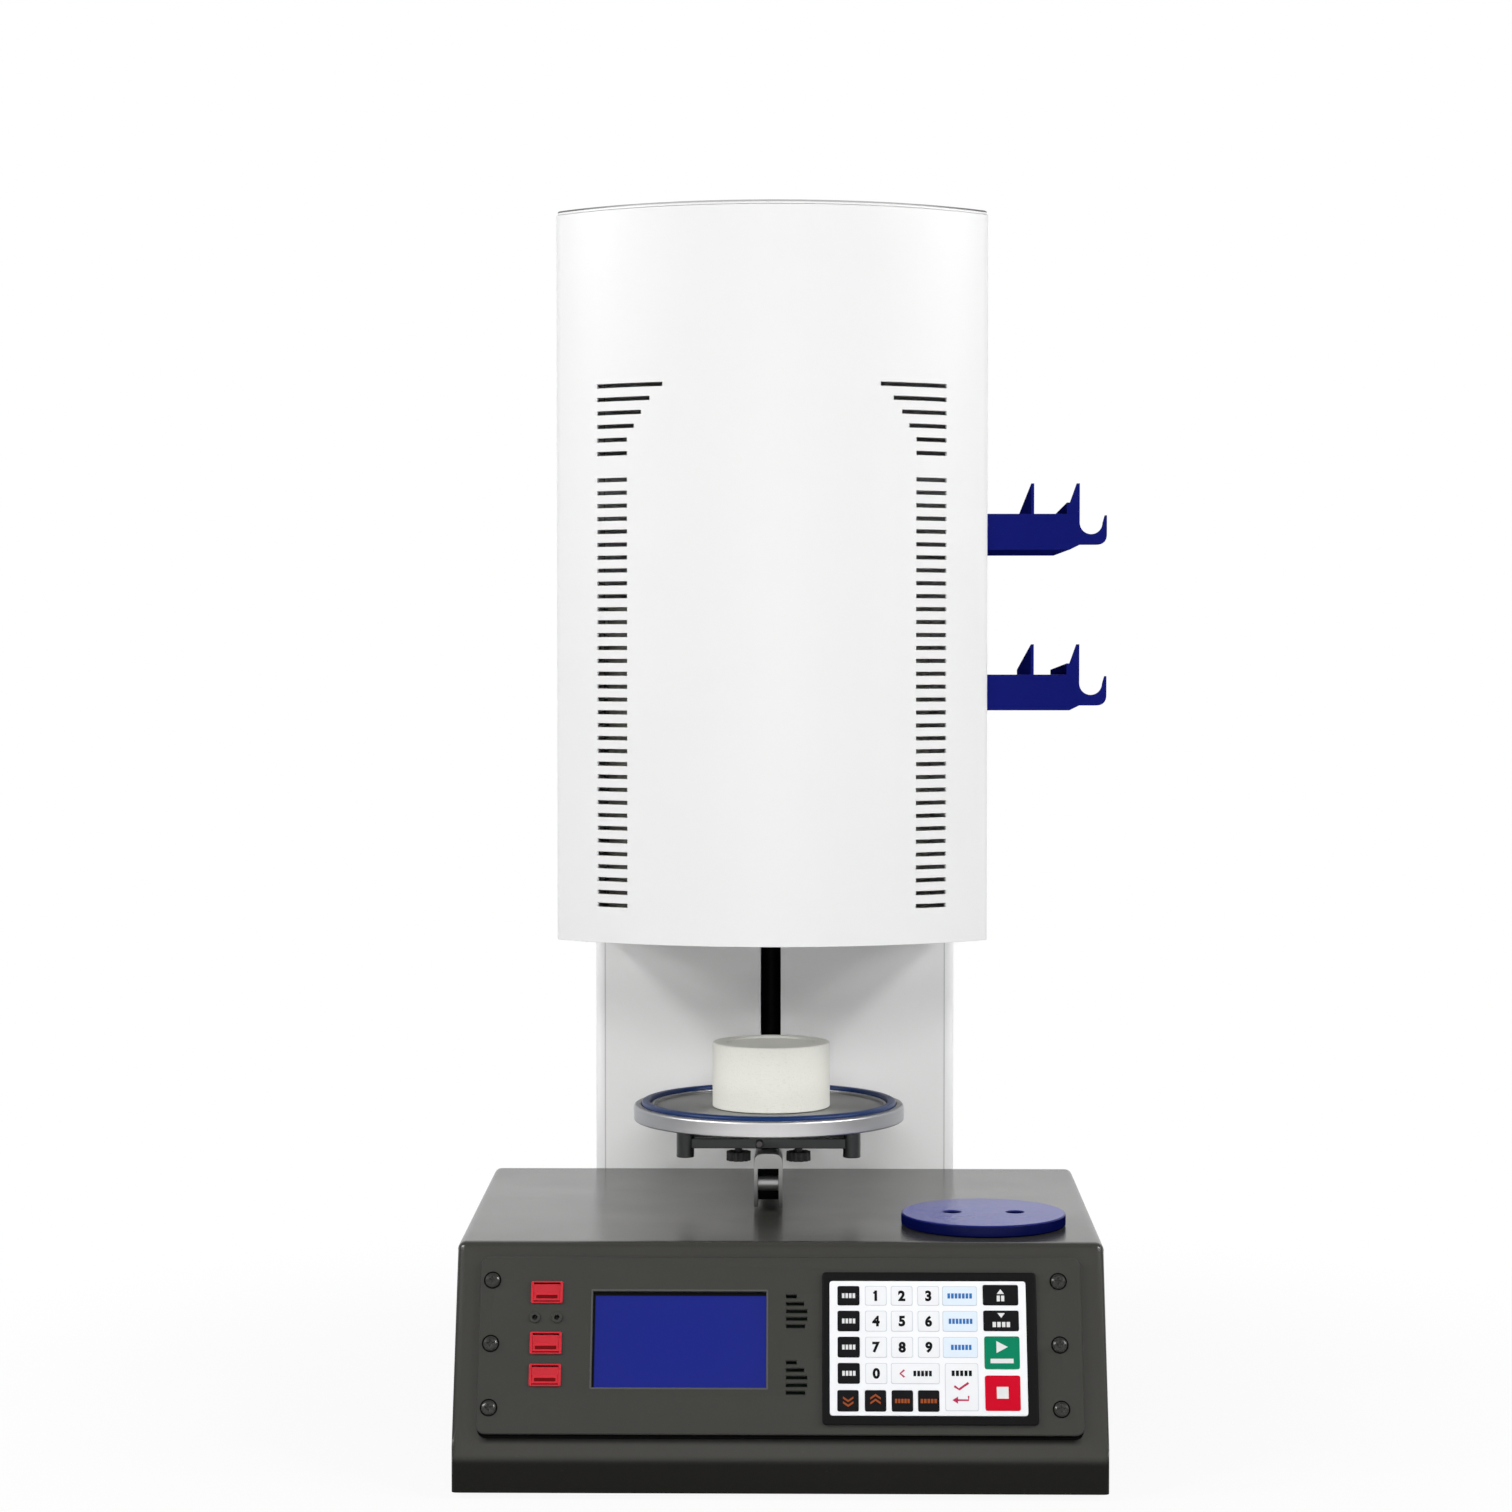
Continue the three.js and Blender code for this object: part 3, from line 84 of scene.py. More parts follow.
# Lift
FORK_BOTTOM, FORK_ROOF, FORK_GAP = 153.4, 178.6, 13.5
PLATE_RADIUS, PLATE_TOP, PLATE_THICKNESS, DISH_RADIUS = 90.8, 214.1, 8.4, 77.0
SEAL_RADIUS, SEAL_WIDTH, SEAL_HEIGHT = 82.6, 6.0, 6.6


# Places
def placed(points):
    """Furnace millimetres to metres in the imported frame: less the shift, then divided by 1000."""
    return (np.asarray(points, dtype=float) - FRAME_SHIFT) * MM


def on_panel(across, up, out):
    """Panel measures to furnace millimetres: up runs along the slant, and out runs square off its face."""
    across, up, out = np.broadcast_arrays(*(np.asarray(v, dtype=float) for v in (across, up, out)))
    y = PANEL_MIDDLE_Y + up * math.sin(FRONT_SLOPE) - out * math.cos(FRONT_SLOPE)
    z = PANEL_MIDDLE_Z + up * math.cos(FRONT_SLOPE) + out * math.sin(FRONT_SLOPE)
    return np.stack([across, y, z], axis=-1)


# Camera at the photograph's place
FOCAL_PIXELS, PHOTO_PIXELS, SENSOR_WIDTH = 3300.0, 1512.0, 36.0
CAMERA_PLACE = (12.1, -2008.5, 521.3)
AIM_PIXELS_LEFT, AIM_PIXELS_DOWN = 44.0, 106.0
CLIP_START, CLIP_END = 0.05, 60.0


def seat(name, data):
    """An object that is linked to the scene."""
    thing = bpy.data.objects.new(name, data)
    bpy.context.collection.objects.link(thing)
    return thing


def add_camera():
    lens = bpy.data.cameras.new("camera")
    lens.sensor_width = SENSOR_WIDTH
    lens.sensor_fit = "HORIZONTAL"
    lens.lens = FOCAL_PIXELS / PHOTO_PIXELS * SENSOR_WIDTH
    lens.clip_start, lens.clip_end = CLIP_START, CLIP_END
    lens.dof.use_dof = False
    camera = seat("camera", lens)
    camera.location = placed(CAMERA_PLACE)
    aim = Vector((-AIM_PIXELS_LEFT / FOCAL_PIXELS, 1.0, -AIM_PIXELS_DOWN / FOCAL_PIXELS))
    camera.rotation_euler = aim.to_track_quat("-Z", "Y").to_euler()
    bpy.context.scene.camera = camera


# Pieces and their meshes
SHARP_ANGLE, EDGE_ANGLE, FLAT_ANGLE = 35.0, 40.0, 0.4
MERGE_DISTANCE = 2e-6


def dress(name, mesh, material, body, replaces=(), sharp=SHARP_ANGLE):
    """A piece with its finish, riding a body; edges sharper than the angle stay sharp."""
    mesh.materials.clear()
    mesh.materials.append(material)
    mesh.shade_smooth()
    mesh.set_sharp_from_angle(angle=math.radians(sharp))
    piece = seat(name, mesh)
    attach(piece, body)
    if replaces:
        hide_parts(*replaces)
    return piece


def add_piece(name, solid, material, body, replaces=(), sharp=SHARP_ANGLE):
    """A piece from points in furnace millimetres and the faces between them."""
    points, faces = solid
    mesh = bpy.data.meshes.new(name)
    mesh.from_pydata(placed(points).tolist(), [], faces)
    mesh.validate()
    return dress(name, mesh, finishes[material], body, replaces, sharp)


def round_edges(piece, width, steps, limit=EDGE_ANGLE):
    edges = piece.modifiers.new("round_edges", "BEVEL")
    edges.width = width * MM
    edges.segments = steps
    edges.limit_method = "ANGLE"
    edges.angle_limit = math.radians(limit)
    edges.harden_normals = True


def softened(node, width, material, body, steps):
    """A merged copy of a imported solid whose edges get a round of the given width."""
    mesh = frame["nodes"][node].data.copy()
    work = bmesh.new()
    work.from_mesh(mesh)
    bmesh.ops.remove_doubles(work, verts=work.verts, dist=MERGE_DISTANCE)
    bmesh.ops.dissolve_limit(work, angle_limit=math.radians(FLAT_ANGLE), verts=work.verts, edges=work.edges)
    work.to_mesh(mesh)
    work.free()
    piece = dress(f"{node}_skin", mesh, material, body, (node,), EDGE_ANGLE)
    round_edges(piece, width, steps)
    return piece


def joined(solids):
    """Several solids, each of points and faces, as one."""
    points, faces, count = [], [], 0
    for part, part_faces in solids:
        points.append(part)
        faces += [[i + count for i in face] for face in part_faces]
        count += len(part)
    return np.concatenate(points), faces


def grid_faces(rows, columns, round_rows=False, round_columns=False):
    """Quads of a grid of points: each joins a point, the next in its row, and their two followers."""
    row = np.arange(rows if round_rows else rows - 1)
    column = np.arange(columns if round_columns else columns - 1)
    r, c = np.meshgrid(row, column, indexing="ij")
    next_r, next_c = (r + 1) % rows, (c + 1) % columns
    corners = [r * columns + c, r * columns + next_c, next_r * columns + next_c, next_r * columns + c]
    return np.stack(corners, -1).reshape(-1, 4)


def curved(start, corner, end, steps):
    """The quadratic curve from start to end that leans towards the corner."""
    share = np.linspace(0.0, 1.0, steps + 1)[:, None]
    return (1 - share) ** 2 * start + 2 * share * (1 - share) * corner + share ** 2 * end


def rounded_path(points, radii, steps=4):
    """A line through points whose corners are curved, each from a radius before it to a radius after it."""
    points = np.asarray(points, dtype=float)
    path = []
    for i, (corner, radius) in enumerate(zip(points, radii)):
        if radius <= 0 or i in (0, len(points) - 1):
            path.append(corner[None])
            continue
        before, after = points[i - 1] - corner, points[i + 1] - corner
        start = corner + before / np.linalg.norm(before) * radius
        end = corner + after / np.linalg.norm(after) * radius
        path.append(curved(start, corner, end, steps))
    return np.concatenate(path)


def rectangle(width, height, radius, x=0.0, y=0.0, steps=4):
    """A counter-clockwise rectangle about x and y, with its corners rounded as in rounded_path."""
    signs = ((-1, -1), (1, -1), (1, 1), (-1, 1))
    corners = [(x + across * width / 2, y + up * height / 2) for across, up in signs]
    if radius <= 0:
        return np.array(corners, dtype=float)
    around = [corners[-1], *corners, corners[0]]
    return rounded_path(around, [0, *[radius] * 4, 0], steps)[1:-1]


def carried_round(section, centre, sides):
    """A section of radius and height, carried round the vertical through centre."""
    angle = np.arange(sides) / sides * math.tau
    return np.stack([
        centre[0] + section[:, :1] * np.cos(angle),
        centre[1] + section[:, :1] * np.sin(angle),
        centre[2] + np.repeat(section[:, 1:], sides, axis=1),
    ], axis=-1).reshape(-1, 3)


def turn(profile, centre, sides=ROUND_SIDES):
    """A profile of radius and height from pole to pole, carried round the vertical through centre."""
    inner = profile[1:-1]
    ring = carried_round(inner, centre, sides)
    poles = [[centre[0], centre[1], centre[2] + height] for height in (profile[0, 1], profile[-1, 1])]
    faces = grid_faces(len(inner), sides, round_columns=True).tolist()
    last = len(ring) - sides
    faces += [[len(ring), (i + 1) % sides, i] for i in range(sides)]
    faces += [[len(ring) + 1, last + i, last + (i + 1) % sides] for i in range(sides)]
    return np.concatenate([ring, poles]), faces


def inset(outline, distance):
    """Each point of a counter-clockwise outline moves inwards along the mean normal of its two edges."""
    along = np.roll(outline, -1, axis=0) - np.roll(outline, 1, axis=0)
    along /= np.linalg.norm(along, axis=1, keepdims=True)
    return outline + distance * np.stack([-along[:, 1], along[:, 0]], axis=-1)


def layered(outline, layers):
    """A counter-clockwise outline carried up through layers of inset and height, with a face at each end."""
    rings = [np.column_stack([inset(outline, i), np.full(len(outline), h)]) for i, h in layers]
    count = len(outline)
    faces = grid_faces(len(layers), count, round_columns=True).tolist()
    faces.append(list(range(count))[::-1])
    faces.append([(len(layers) - 1) * count + i for i in range(count)])
    return np.concatenate(rings), faces


def crowned(outline, bottom, top, edge):
    """Layers of a plate whose upper edge is a quarter round."""
    bend = np.linspace(0.0, math.pi / 2, 4)
    upper = [(edge * (1 - math.cos(a)), top - edge + edge * math.sin(a)) for a in bend]
    return layered(outline, [(0.0, bottom), *upper])


def laid_on_panel(solid):
    """Points given across, up and out of the panel become furnace points; the faces still look outwards."""
    points, faces = solid
    return on_panel(*points.T), faces


# Shader nodes
class Net:
    """A node tree, with short calls for the nodes that come up most; patterns lie on the vector where."""

    def __init__(self, tree):
        self.tree = tree
        self.where = None

    def put(self, value, socket):
        if isinstance(value, bpy.types.NodeSocket):
            self.tree.links.new(value, socket)
        else:
            socket.default_value = value

    def node(self, kind, settings=None, **inputs):
        """A node's outputs; its inputs, by name or as i0, i1 by number, are set to values or linked."""
        node = self.tree.nodes.new(kind)
        for key, value in (settings or {}).items():
            setattr(node, key, value)
        for key, value in inputs.items():
            index = int(key[1:]) if key[0] == "i" and key[1:].isdigit() else key.replace("_", " ")
            self.put(value, node.inputs[index])
        return node.outputs

    def math(self, operation, *values):
        sockets = {f"i{i}": value for i, value in enumerate(values)}
        return self.node("ShaderNodeMath", {"operation": operation}, **sockets)[0]

    def product(self, first, *others):
        for other in others:
            first = self.math("MULTIPLY", first, other)
        return first

    def largest(self, first, *others):
        for other in others:
            first = self.math("MAXIMUM", first, other)
        return first

    def sum_of(self, first, second, share):
        return self.math("MULTIPLY_ADD", second, share, first)

    def ramp(self, value, low, high, start=0.0, end=1.0, smooth=False):
        """Carries a value from the range low to high over to start to end."""
        settings = {"interpolation_type": "SMOOTHSTEP"} if smooth else None
        return self.node("ShaderNodeMapRange", settings, Value=value, From_Min=low, From_Max=high,
                         To_Min=start, To_Max=end)[0]

    def mix(self, mask, below, above):
        return self.node("ShaderNodeMix", {"data_type": "RGBA"}, i0=mask, i6=below, i7=above)[2]

    def vector(self, operation, first, second):
        return self.node("ShaderNodeVectorMath", {"operation": operation}, i0=first, i1=second)[0]

    def length(self, vector):
        return self.node("ShaderNodeVectorMath", {"operation": "LENGTH"}, i0=vector)["Value"]

    def split(self, vector):
        return self.node("ShaderNodeSeparateXYZ", Vector=vector)

    def noise(self, scale, **more):
        return self.node("ShaderNodeTexNoise", **{"Vector": self.where, "Scale": scale, **more})["Fac"]

    def cells(self, scale):
        return self.node("ShaderNodeTexVoronoi", Vector=self.where, Scale=scale)["Distance"]

    def normal(self):
        return self.split(self.node("ShaderNodeNewGeometry")["Normal"])


FLOAT, COLOR, VECTOR = "NodeSocketFloat", "NodeSocketColor", "NodeSocketVector"


class Group(Net):
    """A node group with a vector input and others of label, kind and value, and outputs of label and kind."""

    def __init__(self, name, inputs, outputs):
        super().__init__(bpy.data.node_groups.new(name, "ShaderNodeTree"))
        face = self.tree.interface
        for label, kind, value in [("Vector", VECTOR, None), *inputs]:
            socket = face.new_socket(label, in_out="INPUT", socket_type=kind)
            if value is not None:
                socket.default_value = value
        for label, kind in outputs:
            face.new_socket(label, in_out="OUTPUT", socket_type=kind)
        self.given = self.tree.nodes.new("NodeGroupInput").outputs
        self.where = self.given["Vector"]

    def closed(self, **results):
        end = self.tree.nodes.new("NodeGroupOutput")
        for label, value in results.items():
            self.put(value, end.inputs[label])
        return self.tree


def make_cloudy_skin():
    """Tone and roughness drift with a slow noise, and a fine noise gives the height."""
    group = Group("cloudy_skin", [
        ("Color", COLOR, None), ("Tone Drift", FLOAT, 0.03), ("Roughness", FLOAT, 0.4),
        ("Roughness Drift", FLOAT, 0.08), ("Cloud Scale", FLOAT, 14.0), ("Grain Scale", FLOAT, 900.0),
    ], [("Color", COLOR), ("Roughness", FLOAT), ("Height", FLOAT)])
    given = group.given
    cloud = group.noise(given["Cloud Scale"], Detail=4.0, Roughness=0.6)
    centred = group.math("SUBTRACT", cloud, 0.5)
    tone = group.math("MULTIPLY_ADD", centred, given["Tone Drift"], 1.0)
    return group.closed(
        Color=group.node("ShaderNodeVectorMath", {"operation": "SCALE"}, i0=given["Color"], Scale=tone)[0],
        Roughness=group.math("MULTIPLY_ADD", centred, given["Roughness Drift"], given["Roughness"]),
        Height=group.noise(given["Grain Scale"], Detail=2.0))


def make_drawn_lines():
    """Noise squeezed across one direction, so that it draws out into lines."""
    group = Group("drawn_lines", [("Squeeze", VECTOR, (900.0, 900.0, 12.0))],
                  [("Height", FLOAT), ("Mask", FLOAT)])
    squeezed = group.vector("MULTIPLY", group.where, group.given["Squeeze"])
    lines = group.noise(1.0, Vector=squeezed, Detail=3.0, Roughness=0.7)
    return group.closed(Height=lines, Mask=group.ramp(lines, 0.55, 0.75))


def make_turned_rings():
    """The distance from the axis goes through a fine noise, which leaves rings like a lathe's."""
    group = Group("turned_rings", [("Ring Scale", FLOAT, 1400.0)], [("Height", FLOAT), ("Radius", FLOAT)])
    radius = group.length(group.vector("MULTIPLY", group.where, (1.0, 1.0, 0.0)))
    scaled = group.product(radius, group.given["Ring Scale"])
    rings = group.node("ShaderNodeTexNoise", {"noise_dimensions": "1D"}, W=scaled, Scale=1.0,
                       Detail=2.0)["Fac"]
    return group.closed(Height=rings, Radius=radius)


def make_settled_dust():
    """Faces that look up gather dust: the normal's Z, raised, times a patchy noise."""
    group = Group("settled_dust", [("Amount", FLOAT, 0.1)], [("Mask", FLOAT)])
    facing = group.ramp(group.normal()["Z"], 0.6, 1.0)
    patches = group.noise(35.0, Detail=6.0, Roughness=0.7)
    return group.closed(Mask=group.product(facing, patches, group.given["Amount"]))


def make_fine_scratches():
    """Two slanted sets of long cells keep only their thin bright edges as scratches."""
    group = Group("fine_scratches", [("Scale", FLOAT, 60.0), ("Amount", FLOAT, 0.3)], [("Mask", FLOAT)])
    marks = []
    for tilt, stretch in ((0.5, (1.0, 9.0, 3.0)), (-0.9, (7.0, 1.0, 4.0))):
        laid = group.node("ShaderNodeMapping", Vector=group.where, Rotation=(tilt, tilt / 2, tilt),
                          Scale=stretch)[0]
        cells = group.noise(group.given["Scale"], Vector=laid, Detail=1.0, Distortion=0.4)
        near = group.math("ABSOLUTE", group.math("SUBTRACT", cells, 0.5))
        marks.append(group.ramp(near, 0.0, 0.006, 1.0, 0.0))
    return group.closed(Mask=group.product(*marks, group.given["Amount"]))


cloudy_skin = make_cloudy_skin()
drawn_lines = make_drawn_lines()
turned_rings = make_turned_rings()
settled_dust = make_settled_dust()
fine_scratches = make_fine_scratches()


# Finishes
class Finish(Net):
    """A material with its surface shader; patterns lie on object coordinates."""

    def __init__(self, name):
        self.material = bpy.data.materials.new(name)
        self.material.use_nodes = True
        super().__init__(self.material.node_tree)
        self.shader = self.tree.nodes["Principled BSDF"]
        self.where = self.node("ShaderNodeTexCoord")["Object"]
        self.place = self.split(self.where)

    def group(self, group, **inputs):
        node = self.tree.nodes.new("ShaderNodeGroup")
        node.node_tree = group
        for key, value in {"Vector": self.where, **inputs}.items():
            self.put(value, node.inputs[key.replace("_", " ")])
        return node.outputs

    def coat(self, color, tone, roughness, drift, grain, cloud=14.0):
        """Cloudy skin: colour and roughness with their drifts, and the scales of its grain and clouds."""
        return self.group(cloudy_skin, Color=color, Tone_Drift=tone, Roughness=roughness,
                          Roughness_Drift=drift, Cloud_Scale=cloud, Grain_Scale=grain)

    def dust(self, amount):
        return self.group(settled_dust, Amount=amount)["Mask"]

    def scratches(self, amount):
        return self.group(fine_scratches, Amount=amount)["Mask"]

    def aside(self, x):
        """How far left or right of a furnace place each point lies, in metres."""
        return self.math("ABSOLUTE", self.math("SUBTRACT", self.place["X"], placed_at(0, x)))

    def feed(self, **sources):
        for key, value in sources.items():
            self.put(value, self.shader.inputs[key.replace("_", " ")])

    def done(self, height, depth, **sources):
        """Feeds the surface shader, with a relief of the given depth, and gives the material."""
        bump = self.node("ShaderNodeBump", Height=height, Distance=depth * MM, Strength=1.0)
        self.feed(Normal=bump["Normal"], **sources)
        return self.material


def placed_at(axis, value):
    """One coordinate of placed()."""
    return float((value - FRAME_SHIFT[axis]) * MM)


def rgb(red, green=None, blue=None):
    """A linear colour; one value alone is a grey."""
    return (red, red, red, 1.0) if green is None else (red, green, blue, 1.0)


DUST_COLOR, PITCH_BLACK = rgb(0.55, 0.54, 0.5), rgb(0.004)
WHITE_PAINT = rgb(0.765)


def painted(name, color, roughness, grain, depth, tone=0.05, gleam=0.5, drift=0.08, dust=0.0, scratches=0.0,
            cloud=14.0, metal=0.0):
    """Sprayed or moulded skins: drifting tone, orange-peel grain, a little dust on top and fine scratches."""
    finish = Finish(name)
    skin = finish.coat(color, tone, roughness, drift, grain, cloud)
    tint, rough = skin["Color"], skin["Roughness"]
    if dust:
        lying = finish.dust(dust)
        tint, rough = finish.mix(lying, tint, DUST_COLOR), finish.sum_of(rough, lying, 1.0)
    if scratches:
        marks = finish.scratches(scratches)
        tint, rough = finish.mix(marks, tint, rgb(0.5)), finish.sum_of(rough, marks, 0.5)
    return finish.done(skin["Height"], depth, Base_Color=tint, Roughness=rough, Specular_IOR_Level=gleam,
                       Metallic=metal)


def bare_metal(name, color, roughness, squeeze, depth):
    """Machined or drawn metal: fine lines in one direction over a drifting tone."""
    finish = Finish(name)
    skin = finish.coat(color, 0.12, roughness, 0.12, 1500.0, 30.0)
    lines = finish.group(drawn_lines, Squeeze=squeeze)
    rough = finish.sum_of(skin["Roughness"], lines["Mask"], 0.08)
    return finish.done(lines["Height"], depth, Base_Color=skin["Color"], Roughness=rough, Metallic=1.0)


# Reach and ends of the painted shadow below the panel, and the fade of the plinth's painted shade over the
# bend
CREASE_REACH, CREASE_ENDS, BEND_FADE = 6.0, (7.0, 1.0), 3.2


def make_console_paint():
    """Warm grey semi-gloss paint; painted shade makes the plinth darker and duller, and a painted shadow lies
    below the panel.
    """
    finish = Finish("grey_paint")
    skin = finish.coat(rgb(0.037, 0.0365, 0.032), 0.12, 0.24, 0.08, 1100.0)
    height = finish.place["Z"]
    # Painted shade: the plinth is darker, fading over the bend
    low = finish.ramp(height, (CONSOLE_FRONT_RISE - BEND_FADE) * MM, (CONSOLE_FRONT_RISE + BEND_FADE) * MM,
                      1.0, 0.0, smooth=True)
    tint = finish.mix(low, skin["Color"], rgb(0.010, 0.0098, 0.0086))
    # Painted shadow in a band below the panel's lower edge
    lip = float(placed(on_panel(0.0, -PANEL_HEIGHT / 2, 0.0))[2])
    crease = finish.ramp(height, lip - CREASE_REACH * MM, lip - SHADE_STRIP_DROP * MM, smooth=True)
    below = finish.math("LESS_THAN", height, lip + SHADE_STRIP_DROP * MM)
    start, end = ((PANEL_WIDTH / 2 - reach) * MM for reach in CREASE_ENDS)
    painted_shadow = finish.product(crease, below, finish.ramp(finish.aside(0.0), start, end, 0.85, 0.0))
    tint = finish.mix(painted_shadow, tint, rgb(0.003, 0.003, 0.0025))
    marks = finish.scratches(0.1)
    tint = finish.mix(marks, finish.mix(finish.dust(0.03), tint, DUST_COLOR), rgb(0.3))
    # Less gleam where the shade and the shadow are painted
    shine = finish.ramp(finish.largest(low, painted_shadow), 0.0, 1.0, 0.42, 0.1)
    return finish.done(skin["Height"], 0.015, Base_Color=tint, Specular_IOR_Level=shine,
                       Roughness=finish.sum_of(skin["Roughness"], marks, 0.4))


def make_blue_coat(name, side, top, gleam):
    """Blue powder coat with painted light: faces that look up take the top colour, and the gleam fades where
    faces look down or sideways.
    """
    finish = Finish(name)
    skin = finish.coat(side, 0.15, 0.26, 0.08, 1200.0)
    facing = finish.normal()
    flat = finish.ramp(finish.math("ABSOLUTE", facing["X"]), 0.3, 0.8, 1.0, 0.0)
    # Painted light: faces that look up take the top colour
    tint = finish.mix(finish.ramp(facing["Z"], 0.6, 0.95), skin["Color"], top)
    marks = finish.scratches(0.2)
    # Painted shade: the gleam fades on faces that look down or sideways
    shine = finish.product(finish.ramp(facing["Z"], -0.5, 0.6, 0.0, gleam), flat)
    return finish.done(skin["Height"], 0.012, Base_Color=finish.mix(marks, tint, rgb(0.2, 0.2, 0.3)),
                       Roughness=finish.sum_of(skin["Roughness"], marks, 0.4), Specular_IOR_Level=shine)


FORK_SLACK = 0.2


def make_arm_metal():
    """Cast aluminium with painted shade: bright at the fork's roof, darker down towards the fork's ends, and
    black inside the fork.
    """
    finish = Finish("arm_metal")
    skin = finish.coat(rgb(0.55, 0.55, 0.54), 0.12, 0.38, 0.12, 1500.0, 30.0)
    height = finish.place["Z"]
    # Painted shade: darker from the fork's roof down to its bottom
    painted_light = finish.ramp(height, FORK_BOTTOM * MM, FORK_ROOF * MM, 0.12, 1.0)
    tint = finish.mix(painted_light, rgb(0.03), skin["Color"])
    # Painted shade: black inside the fork, dark grey near its roof
    between = finish.math("LESS_THAN", finish.aside(LIFT_X), (FORK_GAP / 2 + FORK_SLACK) * MM)
    inside = finish.product(between, finish.math("LESS_THAN", height, (FORK_ROOF + FORK_SLACK) * MM))
    hollow_shade = finish.mix(painted_light, PITCH_BLACK, rgb(0.07, 0.07, 0.068))
    return finish.done(skin["Height"], 0.02, Base_Color=finish.mix(inside, tint, hollow_shade), Metallic=1.0,
                       Roughness=finish.sum_of(skin["Roughness"], inside, 0.3))


# Reach over which the painted reflection fades towards the left and the right
SHEEN_FADE_START, SHEEN_FADE_END = 18.0, 81.0


def make_plate_metal():
    """Lathe-turned aluminium, blasted dull in its dish; a painted reflection keeps the front bright and
    darkens towards the left and the right.
    """
    finish = Finish("plate_metal")
    centred = finish.vector("SUBTRACT", finish.where, tuple(placed(AXIS)))
    rings = finish.group(turned_rings, Vector=centred)
    skin = finish.coat(rgb(0.86, 0.845, 0.85), 0.1, 0.34, 0.1, 1800.0, 25.0)
    reach = finish.math("ABSOLUTE", finish.split(centred)["X"])
    # Painted reflection: darker towards the left and the right
    dark = finish.ramp(reach, SHEEN_FADE_START * MM, SHEEN_FADE_END * MM, smooth=True)
    tint = finish.mix(dark, skin["Color"], rgb(0.34, 0.345, 0.36))
    dish = finish.math("LESS_THAN", rings["Radius"], DISH_RADIUS * MM)
    rough = finish.sum_of(finish.sum_of(skin["Roughness"], rings["Height"], 0.1), dish, 0.22)
    return finish.done(rings["Height"], 0.01, Base_Color=finish.mix(dish, tint, rgb(0.36, 0.36, 0.355)),
                       Roughness=rough, Metallic=1.0, Anisotropic=0.4)


COLUMN_BAND, BAND_FADE, SEAM_HALF, SEAM_SHIFT, INSIDE_DEPTH = 6.5, 0.4, 0.4, 0.3, 0.15


def make_column_paint():
    """White paint, lighter than the head's as painted light, brighter past a seam on each side as a painted
    highlight, and painted black inside as shade.
    """
    finish = Finish("column_paint")
    # Lighter than the head's white paint: painted light
    skin = finish.coat(rgb(0.93, 0.927, 0.92), 0.02, 0.4, 0.1, 1300.0)
    reach, half = finish.aside(TOWER_X), COLUMN_WIDTH / 2
    # Painted shade: black on the inside
    behind = finish.math("GREATER_THAN", finish.place["Y"], placed_at(1, COLUMN_FRONT + INSIDE_DEPTH))
    inside = finish.product(behind, finish.math("LESS_THAN", reach, (half - COLUMN_EDGE) * MM))
    # Painted highlight on the band past each seam; the seam line is the joint
    band = finish.ramp(reach, (half - COLUMN_BAND) * MM, (half - COLUMN_BAND + BAND_FADE) * MM)
    seam = finish.math("COMPARE", reach, (half - COLUMN_BAND - SEAM_SHIFT) * MM, SEAM_HALF * MM)
    tint = finish.mix(seam, finish.mix(band, skin["Color"], rgb(0.98)), rgb(0.6))
    return finish.done(skin["Height"], 0.012, Base_Color=finish.mix(inside, tint, PITCH_BLACK),
                       Roughness=finish.sum_of(skin["Roughness"], inside, 0.5))


TOP_SKIN, EDGE_SHADE_START, EDGE_SHADE_END = 0.02, 85.0, 125.0


def make_lid_paint():
    """White paint with a painted shadow along the lid's upper edge: grey, and darker towards the edge's ends.
    """
    finish = Finish("lid_paint")
    skin = finish.coat(WHITE_PAINT, 0.02, 0.42, 0.1, 1300.0)
    # Painted shadow along the lid's upper edge, darker towards its ends
    above = finish.math("GREATER_THAN", finish.place["Z"], (HEAD_TOP - LID_EDGE) * MM)
    edge = finish.product(above, finish.math("LESS_THAN", finish.place["Z"], (HEAD_TOP - TOP_SKIN) * MM))
    ends = finish.ramp(finish.aside(TOWER_X), EDGE_SHADE_START * MM, EDGE_SHADE_END * MM)
    edge_shade = finish.mix(ends, rgb(0.42), rgb(0.13))
    colour = finish.mix(edge, skin["Color"], edge_shade)
    return finish.done(skin["Height"], 0.012, Base_Color=colour, Roughness=0.42)


def make_fibre():
    """Pressed ceramic fibre: chalky, with pits and short fibres."""
    finish = Finish("ceramic_fibre")
    skin = finish.coat(rgb(0.87, 0.865, 0.80), 0.08, 0.92, 0.05, 700.0, 22.0)
    fibres = finish.group(drawn_lines, Squeeze=(260.0, 1600.0, 900.0))
    height = finish.sum_of(finish.sum_of(skin["Height"], fibres["Height"], 0.8), finish.cells(420.0), 0.6)
    tint = finish.mix(fibres["Mask"], skin["Color"], rgb(0.78, 0.76, 0.68))
    return finish.done(height, 0.12, Base_Color=tint, Roughness=skin["Roughness"], Specular_IOR_Level=0.25)


# Widths of the painted shadow along the screen's top and its left
SCREEN_SHADE_TOP, SCREEN_SHADE_LEFT = 2.0, 1.3


